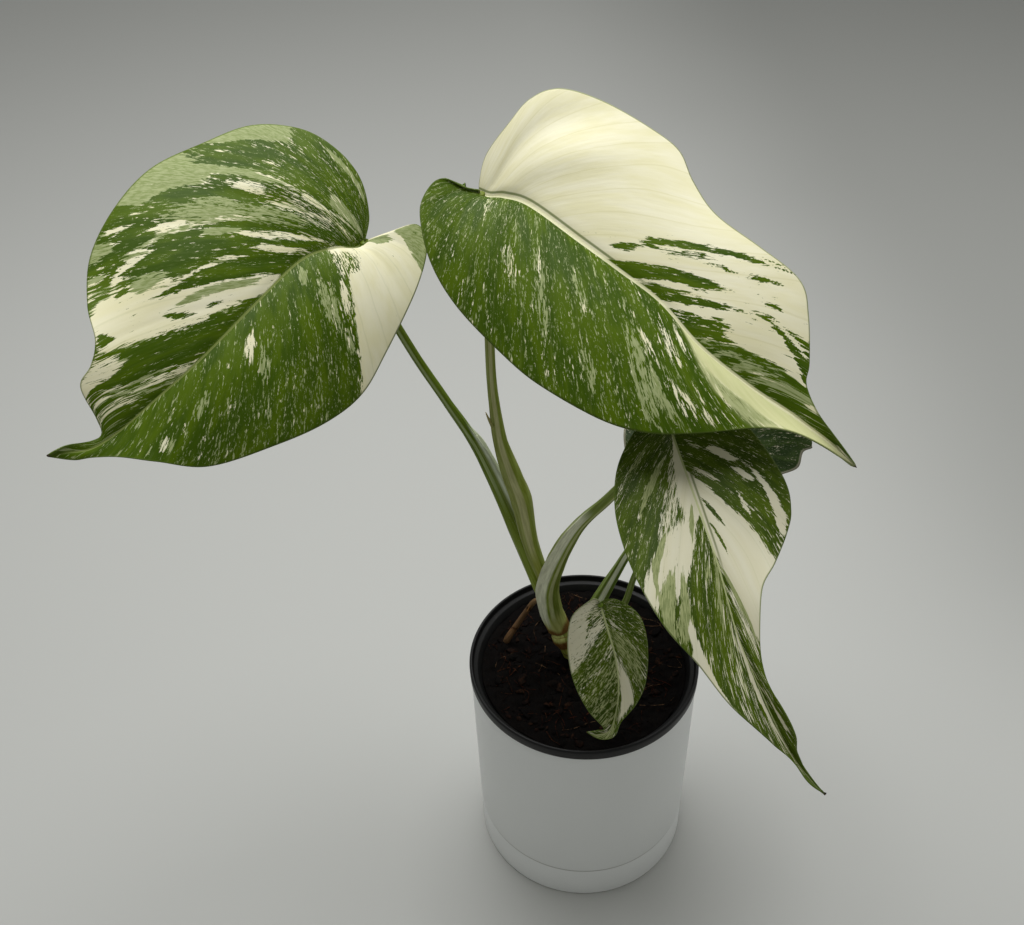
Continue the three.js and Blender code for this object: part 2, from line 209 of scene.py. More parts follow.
# Camera at the photographed view
view = {"place": (-0.035, -0.42, 0.649), "pitch": math.radians(41.1), "roll": math.radians(-2.05),
        "lens": 42.19, "sensor": 36, "nearest": 0.02}
cameraData = bpy.data.cameras.new("camera")
cameraData.sensor_width = view["sensor"]
cameraData.lens = view["lens"]
cameraData.clip_start = view["nearest"]
camera = added("camera", cameraData)
forward = Vector((0, math.cos(view["pitch"]), -math.sin(view["pitch"])))
level = Vector((1, 0, 0))
upright = level.cross(forward)
across = math.cos(view["roll"]) * level + math.sin(view["roll"]) * upright
upward = -math.sin(view["roll"]) * level + math.cos(view["roll"]) * upright
camera.rotation_euler = Matrix((across, upward, -forward)).transposed().to_euler()
camera.location = view["place"]
scene.camera = camera

# Pale floor with painted shade darkening it to the right at the back, and soft light
stage = {
    "floorSize": 4.0, "floorTone": tone(189, 190, 186), "shadeTone": tone(160, 161, 157), "roughness": 0.7,
    "shadeSide": (0.22, 0.56), "shadeDepth": (-0.06, 0.2), "lean": 0.1, "clouding": 0.16, "cloudScale": 1.4,
    "skyTint": (0.97, 0.98, 0.95, 1), "skyStrength": 0.28, "aim": (0, 0, 0.25),
    "lights": {
        "key": {"place": (-0.1, 0.32, 1.3), "size": 1.0, "power": 13.5},
        "fill": {"place": (1.1, 0.5, 0.8), "size": 1.2, "power": 1.7},
    },
}
bm = bmesh.new()
bmesh.ops.create_grid(bm, x_segments=8, y_segments=8, size=stage["floorSize"])
floor = added("floor", meshOf(bm, "floor"))
floorFinish = Finish("pale_floor")
floorPlace = floorFinish.place()
floorDepth = floorFinish.along("Y", floorPlace)
floorSide = floorFinish.along("X", floorPlace) + stage["lean"] * floorDepth
floorSide = floorSide + stage["clouding"] * floorFinish.grain(floorPlace, stage["cloudScale"], 2.0)
# Painted shade: the floor is darkened to the right at the back, where less light falls
floorPaintedShade = floorFinish.step(floorSide, *stage["shadeSide"])
floorPaintedShade = floorPaintedShade * floorFinish.step(floorDepth, *stage["shadeDepth"])
floorFinish.give(Base_Color=floorFinish.mix(floorPaintedShade, stage["floorTone"], stage["shadeTone"]),
                 Roughness=stage["roughness"])
floor.data.materials.append(floorFinish.material)

for name, light in stage["lights"].items():
    lamp = bpy.data.lights.new(name, "AREA")
    lamp.shape = "DISK"
    lamp.size = light["size"]
    lamp.energy = light["power"]
    holder = added(name, lamp)
    holder.location = light["place"]
    aim = Vector(stage["aim"]) - Vector(light["place"])
    holder.rotation_euler = aim.to_track_quat("-Z", "Y").to_euler()
sky = bpy.data.worlds.new("sky")
sky.use_nodes = True
skyLight = sky.node_tree.nodes["Background"].inputs
skyLight["Color"].default_value = stage["skyTint"]
skyLight["Strength"].default_value = stage["skyStrength"]
scene.world = sky
scene.view_settings.view_transform = "Standard"
print("camera, floor and lights set")

# Pot finishes: satin white with a painted shade line at the seam over the saucer, and dusty black
whiteLook = {"shades": (tone(226, 228, 226), tone(233, 235, 233)), "seamShadeTone": tone(112, 104, 92),
             "seamHeight": 25.15, "seamHalf": (0.3, 0.9), "seamShadeShow": 0.6}
blackLook = {"plain": tone(9, 9, 9), "dusty": tone(60, 54, 46), "dustShow": 0.2, "shine": 0.3}

white = Finish("planter_white")
place = white.place()
blotch = white.grain(place, 9.0, 2.0)
# Painted shade: a thin darker brownish line where the planter meets the saucer, for the shade in the gap
fromSeam = abs(white.along("Z", place) - whiteLook["seamHeight"] * mm)
seam = 1 - white.step(fromSeam, *[half * mm for half in whiteLook["seamHalf"]])
shell = white.ramp(blotch, *enumerate(whiteLook["shades"]))
white.give(Base_Color=white.mix(seam * whiteLook["seamShadeShow"], shell, whiteLook["seamShadeTone"]),
           Roughness=0.38 + 0.12 * blotch,
           Normal=white.bump(white.grain(place, 900.0, 2.0), 0.00003, 0.35))

black = Finish("liner_black")
place = black.place()
dust = black.step(black.grain(place, 240.0, 4.0, 0.7), 0.6, 0.75)
scuff = black.grain(black.stretched(place, (1.0, 1.0, 6.0)), 60.0, 3.0)
black.give(Base_Color=black.mix(dust * blackLook["dustShow"], blackLook["plain"], blackLook["dusty"]),
           Roughness=0.38 + 0.22 * scuff, Specular_IOR_Level=blackLook["shine"],
           Normal=black.bump(black.grain(place, 700.0, 2.0), 0.00004, 0.4))

# Pot: profiles in mm turned about the upright axis, with drain holes drilled in the floors
turning = {"steps": 144, "sharpAngle": 0.35, "roundSegments": 3, "holeSides": 32}
potParts = {
    "saucer_shell": {
        "node": "saucer", "finish": white, "slot": "planter_white", "rounding": 0.9,
        "profile": [(0, 0), (59, 0), (60, 1), (60, 25), (57.4, 25), (57.4, 3), (0, 3)],
    },
    "planter_shell": {
        "node": "planter", "finish": white, "slot": "planter_white", "rounding": 0.6,
        "profile": [(0, 7), (56.1, 7), (57.1, 8), (57.1, 25.3), (60.2, 25.3), (61.3, 134.1), (60.7, 134.7),
                    (58.7, 134.7), (54.5, 29.3), (54.5, 10), (0, 10)],
        "drain": {"radius": 6, "offset": 24, "count": 4, "span": (6, 11)},
    },
    "nursery_pot_shell": {
        "node": "nursery_pot", "finish": black, "slot": "liner_black", "rounding": 0.4,
        "profile": [(0, 12.4), (44, 12.4), (45, 13.4), (57.2, 135), (61.9, 135), (62, 140.1), (61.2, 141),
                    (60.3, 140.8), (59.8, 137.5), (57.6, 136.7), (55.6, 133), (43.4, 14), (0, 14)],
        "drain": {"radius": 4.5, "offset": 26, "count": 6, "span": (11.4, 15)},
    },
}


def isSharp(edge):
    start, end = edge.verts
    level = abs(start.co.z - end.co.z) < 1e-6
    return level and len(edge.link_faces) == 2 and edge.calc_face_angle() > turning["sharpAngle"]


def turnedPiece(name, part):
    bm = bmesh.new()
    verts = [bm.verts.new((radius * mm, 0, height * mm)) for radius, height in part["profile"]]
    edges = [bm.edges.new(pair) for pair in zip(verts, verts[1:])]
    bmesh.ops.spin(bm, geom=verts + edges, axis=(0, 0, 1), cent=(0, 0, 0), angle=2 * math.pi,
                   steps=turning["steps"], use_merge=True)
    weld(bm)
    pointOutwards(bm)
    bmesh.ops.bevel(bm, geom=[edge for edge in bm.edges if isSharp(edge)], offset=part["rounding"] * mm,
                    offset_type="OFFSET", affect="EDGES", segments=turning["roundSegments"], profile=0.5,
                    material=-1, clamp_overlap=True)
    return finished(name, bm, [part["finish"]], part["node"])


def drillOut(piece, drain):
    low, high = drain["span"]
    bm = bmesh.new()
    for k in range(drain["count"]):
        angle = 2 * math.pi * k / drain["count"]
        x = drain["offset"] * math.cos(angle)
        y = drain["offset"] * math.sin(angle)
        middle = Vector((x, y, (low + high) / 2))
        bmesh.ops.create_cone(bm, cap_ends=True, segments=turning["holeSides"], radius1=drain["radius"] * mm,
                              radius2=drain["radius"] * mm, depth=(high - low) * mm,
                              matrix=Matrix.Translation(middle * mm))
    cutter = added("drain_cutter", meshOf(bm, "drain_cutter"))
    cut = piece.modifiers.new("drain", "BOOLEAN")
    cut.operation = "DIFFERENCE"
    cut.solver = "EXACT"
    cut.object = cutter
    whole = piece.data
    drilled = bpy.data.meshes.new_from_object(piece.evaluated_get(bpy.context.evaluated_depsgraph_get()))
    piece.modifiers.remove(cut)
    piece.data = drilled
    cutterMesh = cutter.data
    bpy.data.objects.remove(cutter)
    for mesh in (cutterMesh, whole):
        bpy.data.meshes.remove(mesh)
    drilled.name = piece.name
    print(piece.name, "has its drain holes")


for name, part in potParts.items():
    piece = turnedPiece(name, part)
    if "drain" in part:
        drillOut(piece, part["drain"])
print("pot made")


# Curves: points in mm, read by their index or by the share of their length
def curveAt(points, index, doubledEnds=True):
    p = np.array(points, float)
    last = len(p) - 1
    head, tail = (p[0], p[-1]) if doubledEnds else (2 * p[0] - p[1], 2 * p[-1] - p[-2])
    padded = np.vstack([head, p, tail])
    k = np.minimum(np.floor(index).astype(int), last - 1)
    w = (index - k)[:, None]
    p0, p1, p2, p3 = padded[k], padded[k + 1], padded[k + 2], padded[k + 3]
    v0 = (p2 - p0) / 2
    v1 = (p3 - p1) / 2
    return (2 * p1 - 2 * p2 + v0 + v1) * w ** 3 + (-3 * p1 + 3 * p2 - 2 * v0 - v1) * w ** 2 + v0 * w + p1


class Course:
    def __init__(self, points, samples=1200):
        self.points = curveAt(points, np.linspace(0, len(points) - 1, samples))
        steps = np.linalg.norm(np.diff(self.points, axis=0), axis=1)
        self.length = steps.sum()
        self.share = np.concatenate([[0], np.cumsum(steps)]) / self.length

    def at(self, share):
        return np.stack([np.interp(share, self.share, axis) for axis in self.points.T], axis=-1)


# Leaf finish: dark green, sage and cream told apart by painted fields and by noise drawn out along the veins
veinGrains = {  # stretch, detail, roughness, distortion
    "streak": ((0.1, 0.42, 1.0), 6.0, 0.66, 0.4),
    "fray": ((0.38, 1.0, 1.0), 4.0, 0.64, 0.3),
    "other": ((0.07, 0.3, 3.0), 5.0, 0.6, 0.0),
    "fleck": ((0.58, 1.15, 2.0), 4.0, 0.68, 0.0),
    "cloud": ((0.05, 0.09, 5.0), 3.0, 0.6, 0.0),
}
paintNames = ("pale", "cream", "speck", "wash")
fieldNames = paintNames + ("toEdge", "toRib", "station")


def leafFinish(name, look):
    f = Finish(name)
    veins = f.attribute("veins", "Vector")
    pale, cream, speck, wash, toEdge, toRib, station = [f.attribute(field) for field in fieldNames]
    streak, fray, other, fleck, cloud = [f.grain(f.stretched(veins, stretch), 1.0, *rest)
                                         for stretch, *rest in veinGrains.values()]
    paleMask = f.step(pale + (streak - 0.5) * 1.7 + (fray - 0.5) * 2.2 + (fleck - 0.5) * 0.7, 0.48, 0.53)
    creamMask = f.step(cream + (other - 0.5) * 1.9 + (fray - 0.5), 0.44, 0.56)
    fleckMask = f.step(fleck + speck * 0.07 + (streak - 0.5) * 0.5, 0.66, 0.7)
    # The three grounds, then the yellowish wash over them
    greenPaint = f.mix(f.step(cloud, 0.38, 0.62), look["deepGreen"], look["midGreen"])
    greenPaint = f.mix(f.step(fray, 0.5, 0.75) * 0.22, greenPaint, look["sage"])
    greenPaint = f.mix(fleckMask * 0.7, greenPaint, look["paleSage"])
    sagePaint = f.mix(f.step(fray, 0.4, 0.6), look["sage"], look["paleSage"])
    creamPaint = f.mix(f.step(cloud, 0.3, 0.7), look["cream"], look["warmCream"])
    paint = f.mix(paleMask, greenPaint, f.mix(creamMask, sagePaint, creamPaint))
    paint = f.mix(wash, paint, f.mix(streak, look["washDark"], look["washPale"]))
    # Lines: side veins, midrib, the green line beside it, and the margin
    toVein = (f.along("Y", veins) + 3.0 * cloud).folded(look["veinGap"])
    onVein = (1 - f.step(toVein, 0.1, 0.7)) * (paleMask * creamMask * look["veinShow"] + 0.03)
    paint = f.mix(onVein, paint, look["veinColour"])
    offRib = f.step(abs(toRib), look["ribWidth"] * 0.6, look["ribWidth"])
    onRib = (1 - offRib) * (1 - f.step(station, 0.9, 1.0))
    paint = f.mix(onRib * look["ribShow"], paint, look["ribColour"])
    besideRib = f.step(toRib, 1.1, 1.5) * (1 - f.step(toRib, 1.9, 2.4)) * (1 - f.step(station, 0.3, 0.5))
    paint = f.mix(besideRib * look["ribLine"], paint, look["midGreen"])
    onEdge = 1 - f.step(toEdge, look["edgeWidth"] * 0.5, look["edgeWidth"])
    paint = f.mix(onEdge * 0.7, paint, look["edgeColour"])
    paint = f.mix(f.step(station, 0.99, 0.997), paint, look["tipColour"])
    bumpy = f.bump(f.grain(f.place(), 420.0), 0.0001, 0.2)
    bumpy = f.bump(f.grain(f.stretched(veins, (0.08, 0.3, 1.0)), 1.0, 2.0), 0.0005, 0.16, bumpy)
    f.give(Base_Color=paint, Roughness=look["roughness"] + 0.12 * fray + paleMask * 0.05, Normal=bumpy,
           Specular_IOR_Level=look["shine"])
    return f


leafLook = {
    "roughness": 0.42, "shine": 0.11,
    "deepGreen": tone(56, 80, 0), "midGreen": tone(76, 99, 0),
    "sage": tone(130, 143, 86), "paleSage": tone(160, 169, 120),
    "cream": tone(238, 234, 204), "warmCream": tone(230, 225, 184),
    "washDark": tone(194, 198, 138), "washPale": tone(222, 221, 172),
    "ribWidth": 0.6, "ribShow": 0.55, "ribColour": tone(150, 160, 92), "ribLine": 0.0,
    "veinGap": 6.0, "veinShow": 0.1, "veinColour": tone(150, 158, 100),
    "edgeWidth": 0.7, "edgeColour": tone(86, 104, 40), "tipColour": tone(62, 50, 28),
}
leafChanges = {  # what each finish changes in the common look
    "leaf_variegated": {},
    "leaf_half_cream": {
        "ribWidth": 0.95, "ribShow": 0.8, "ribColour": tone(232, 230, 188), "ribLine": 0.75,
        "veinGap": 8.0, "veinShow": 0.26, "veinColour": tone(206, 200, 146),
    },
    # Painted shade: a darker copy of the common look for the leaves lying under leaf_top, with stronger
    # midrib lines
    "leaf_shaded": {
        "deepGreen": tone(48, 66, 0), "midGreen": tone(68, 86, 4), "sage": tone(118, 128, 80),
        "paleSage": tone(150, 156, 108), "cream": tone(202, 199, 175), "warmCream": tone(198, 194, 166),
        "ribColour": tone(172, 178, 128), "ribShow": 0.8, "ribLine": 0.7,
    },
    # Painted shade: a much darker copy for the leaves lying deep under the others, with a wider pale margin
    "leaf_deep_shade": {
        "deepGreen": tone(26, 42, 8), "midGreen": tone(42, 58, 18), "sage": tone(96, 104, 80),
        "paleSage": tone(120, 126, 102), "cream": tone(166, 160, 140), "warmCream": tone(158, 150, 130),
        "edgeColour": tone(140, 136, 118), "edgeWidth": 1.5,
    },
    "leaf_under": {
        "roughness": 0.55, "deepGreen": tone(96, 116, 62), "midGreen": tone(112, 130, 78),
        "sage": tone(160, 172, 128),
    },
}
leafFinishes = {name: leafFinish(name, dict(leafLook, **changes)) for name, changes in leafChanges.items()}

# Blades: margins and midribs in mm in the blade's own plane, its base and tip in mm in the frame
leaves = {
    "leaf_left": {
        "base": (-94, 23, 389), "tip": (-216, -62, 348), "face": (0.22, -0.66, 0.71), "arch": 10,
        "rise": (0.2, 0.25), "camber": (0.4, 0.35), "wave": (1.5, 3), "rows": 220, "columns": 60,
        "fan": (0.65, 0.37), "detail": 1.0, "quilt": (0.3, 0.3), "finish": "leaf_variegated",
        "swells": [(0, 0.4, 0.55, 15, 1.3), (0, 0.35, 0.72, 12, 0.9), (1, 0.5, 0.45, 14, 1.0),
                   (1, 0.45, 0.7, 12, 0.8)],
        "midrib": [(0, 0), (5, 0.3), (13, -4.2), (28, -7), (57, -1.5), (85, 4), (111, 7), (127.5, 8.5),
                   (139, 7.5), (147.5, 3), (154, 0)],
        "left": [(0, 0), (-10.5, 3), (-22.5, 7.2), (-21, 16.5), (-6, 29), (21, 43.5), (39.5, 51.5),
                 (59.5, 52.5), (81.5, 48.5), (107.5, 40), (122.5, 27), (133, 16.5), (141, 10.5), (147, 7),
                 (154, 0)],
        "right": [(0, 0), (-8, -8), (-14, -22), (-13.5, -38), (-7, -53.5), (8.5, -66.5), (30.5, -71),
                  (53, -73), (75, -66.5), (94.5, -55), (107, -38.5), (113, -24.5), (120, -17.5),
                  (128, -13.5), (130.5, -1), (132.5, 5), (137, 5), (146, 1), (154, 0)],
    },
    "leaf_top": {
        "base": (-44, 11, 416), "tip": (101, -67, 332), "face": (0.2, -0.52, 0.83), "arch": 8,
        "rise": (0.42, 0.2), "camber": (0.42, 0.45), "wave": (1.8, 2.5), "rows": 220, "columns": 60,
        "fan": (0.5, 0.6), "detail": 1.0, "quilt": (0.04, 0.25), "finish": "leaf_half_cream",
        "swells": [(0, 0.75, 0.3, 16, -1.6), (0, 0.45, 0.42, 16, 1.2), (1, 0.45, 0.35, 15, 1.0),
                   (1, 0.4, 0.6, 14, 1.0)],
        "midrib": [(0, 0), (4, 1), (9, 4.5), (19, 7.5), (43.5, 6), (63.5, 5), (83, 4), (106, -1.5),
                   (131, -2), (150, 0), (159, 0.5), (170.5, 1), (185, 0)],
        "left": [(0, 0), (-3, 3.5), (-7, 13), (-7.5, 28.5), (-7, 42.5), (-0.5, 54.5), (16.5, 62), (39, 65),
                 (53.5, 64.5), (65.5, 55.5), (81, 47.5), (102.5, 45), (123.5, 43.5), (134, 34), (145, 19),
                 (149, 11.5), (159, 5.5), (169.5, 2.5), (185, 0)],
        "right": [(0, 0), (-5.5, -4), (-15, -7.5), (-15.5, -17.5), (-11, -26), (2, -37), (20, -44.5),
                  (45, -49), (65, -51), (91.5, -49.5), (110, -43), (125.5, -31.5), (141.5, -17),
                  (153.5, -9), (171, -2.5), (185, 0)],
    },
    "leaf_lower": {
        "base": (29, -45, 340), "tip": (76, -171, 264), "face": (0.05, -0.5, 0.86), "arch": 10,
        "rise": (0.25, 0.25), "camber": (0.45, 0.35), "wave": (1.5, 3), "rows": 220, "columns": 50,
        "fan": (0.6, 0.48), "detail": 1.15, "quilt": (0.25, 0.25), "finish": "leaf_shaded",
        "swells": [(0, 0.5, 0.55, 12, -1.4), (1, 0.5, 0.35, 12, 1.0)],
        "midrib": [(0, 0), (21.5, -2.5), (41.5, -4.5), (62, -6.5), (87, -10), (104, -10), (122.5, -9),
                   (137, -7), (147.5, -3.5), (154, 0)],
        "left": [(0, 0), (-3, 10.5), (3.5, 21.5), (13, 28.5), (37.5, 33.5), (50.5, 31), (59, 25),
                 (69, 14.5), (77.5, 4.5), (94.5, -3.5), (107.5, -6.5), (118, -6), (131, -4.5),
                 (137.5, -5.5), (147.5, -2.5), (154, 0)],
        "right": [(0, 0), (-5.5, -4), (-2, -13), (11, -27), (26, -34.5), (42, -37.5), (61.5, -38),
                  (79, -35.5), (95.5, -29), (114, -23.5), (130.5, -13.5), (138, -8.5), (148, -4.8),
                  (154, 0)],
    },
    "leaf_front": {
        "base": (6, -21, 206), "tip": (-3, -61, 157), "face": (0, -0.77, 0.64), "arch": 4,
        "rise": (0.2, 0.2), "camber": (0.4, 0.4), "wave": (0.8, 2), "rows": 120, "columns": 32,
        "fan": (0.6, 0.6), "detail": 1.35, "quilt": (0.15, 0.15), "swells": [],
        "finish": "leaf_shaded",
        "midrib": [(0, 0), (12, 5), (26, 10.5), (43, 13.5), (60, 12), (64.3, 6.3), (64, 0)],
        "left": [(0, 0), (-3, 2.5), (-3, 9.5), (3.5, 20), (17.5, 25.5), (35, 26.5), (46, 23), (56, 16),
                 (64, 13.5), (66.4, 7), (64, 0)],
        "right": [(0, 0), (-2.5, -2.5), (-1, -6), (7.5, -13.5), (22, -14), (38.5, -9.5), (52, -1),
                  (60.5, 8), (62, 5.2), (64, 0)],
    },
    "leaf_back": {
        "base": (62, -3, 281), "tip": (96, 70, 310), "face": (0.1, -0.4, 0.91), "arch": 6,
        "rise": (0.2, 0.2), "camber": (0.35, 0.35), "wave": (2, 2), "rows": 120, "columns": 32,
        "fan": (0.6, 0.6), "detail": 1.4, "quilt": (0.2, 0.2), "swells": [],
        "finish": "leaf_deep_shade",
        "midrib": [(0, 0), (23, -3.5), (49.5, -5), (86, 0)],
        "left": [(0, 0), (-4, 7.5), (7, 18.5), (26, 24.5), (48.5, 25), (63, 19.5), (78.5, 10), (86, 0)],
        "right": [(0, 0), (-6.5, -9), (-3, -19.5), (5.5, -28.5), (13, -34.5), (21.5, -34.5), (27.5, -38.5),
                  (34.5, -33), (49.5, -23), (70, -14.5), (79.5, -7.5), (86, 0)],
    },
    "leaf_inner": {
        "base": (45, 17, 219), "tip": (34, 81, 250), "face": (-0.15, -0.45, 0.88), "arch": 5,
        "rise": (0.2, 0.2), "camber": (0.35, 0.35), "wave": (1.5, 2), "rows": 100, "columns": 28,
        "fan": (0.6, 0.6), "detail": 1.5, "quilt": (0.15, 0.15), "swells": [],
        "finish": "leaf_deep_shade",
        "midrib": [(0, 0), (20, 0), (42.5, 1), (71.5, 0)],
        "left": [(0, 0), (-0.5, 9), (11, 14), (29.5, 15), (46, 13.5), (56.5, 11.5), (68, 6), (71.5, 0)],
        "right": [(0, 0), (-1, -9), (11, -20.5), (31, -25.5), (49.5, -23), (65, -12.5), (71.5, 0)],
    },
}


def bladeAxes(leaf):
    origin = np.array(leaf["base"], float)
    along = np.array(leaf["tip"], float) - origin
    length = np.linalg.norm(along)
    along /= length
    up = np.array(leaf["face"], float)
    up -= up.dot(along) * along
    up /= np.linalg.norm(up)
    return origin, along, np.cross(up, along), up, length


# Kinds of streak: how pale, how cream, how flecked and how washed
green = {"pale": 0.12, "wash": 0}
darkest = {"pale": 0.02, "wash": 0}
flecked = {"pale": 0.34, "cream": 0.6}
dusted = {"speck": 1.3}
mixed = {"pale": 0.56, "cream": 0.5}
sage = {"pale": 0.9, "cream": 0.05}
solidSage = {"pale": 1.1, "cream": 0.05}
sageMix = {"pale": 0.68, "cream": 0.25}
ivory = {"pale": 1.2, "cream": 1.0}
ivoryMix = {"pale": 0.76, "cream": 0.85}
ivoryFleck = {"pale": 0.82, "cream": 0.9}
yellowish = {"pale": 0.97, "cream": 0.6, "wash": 1.0}

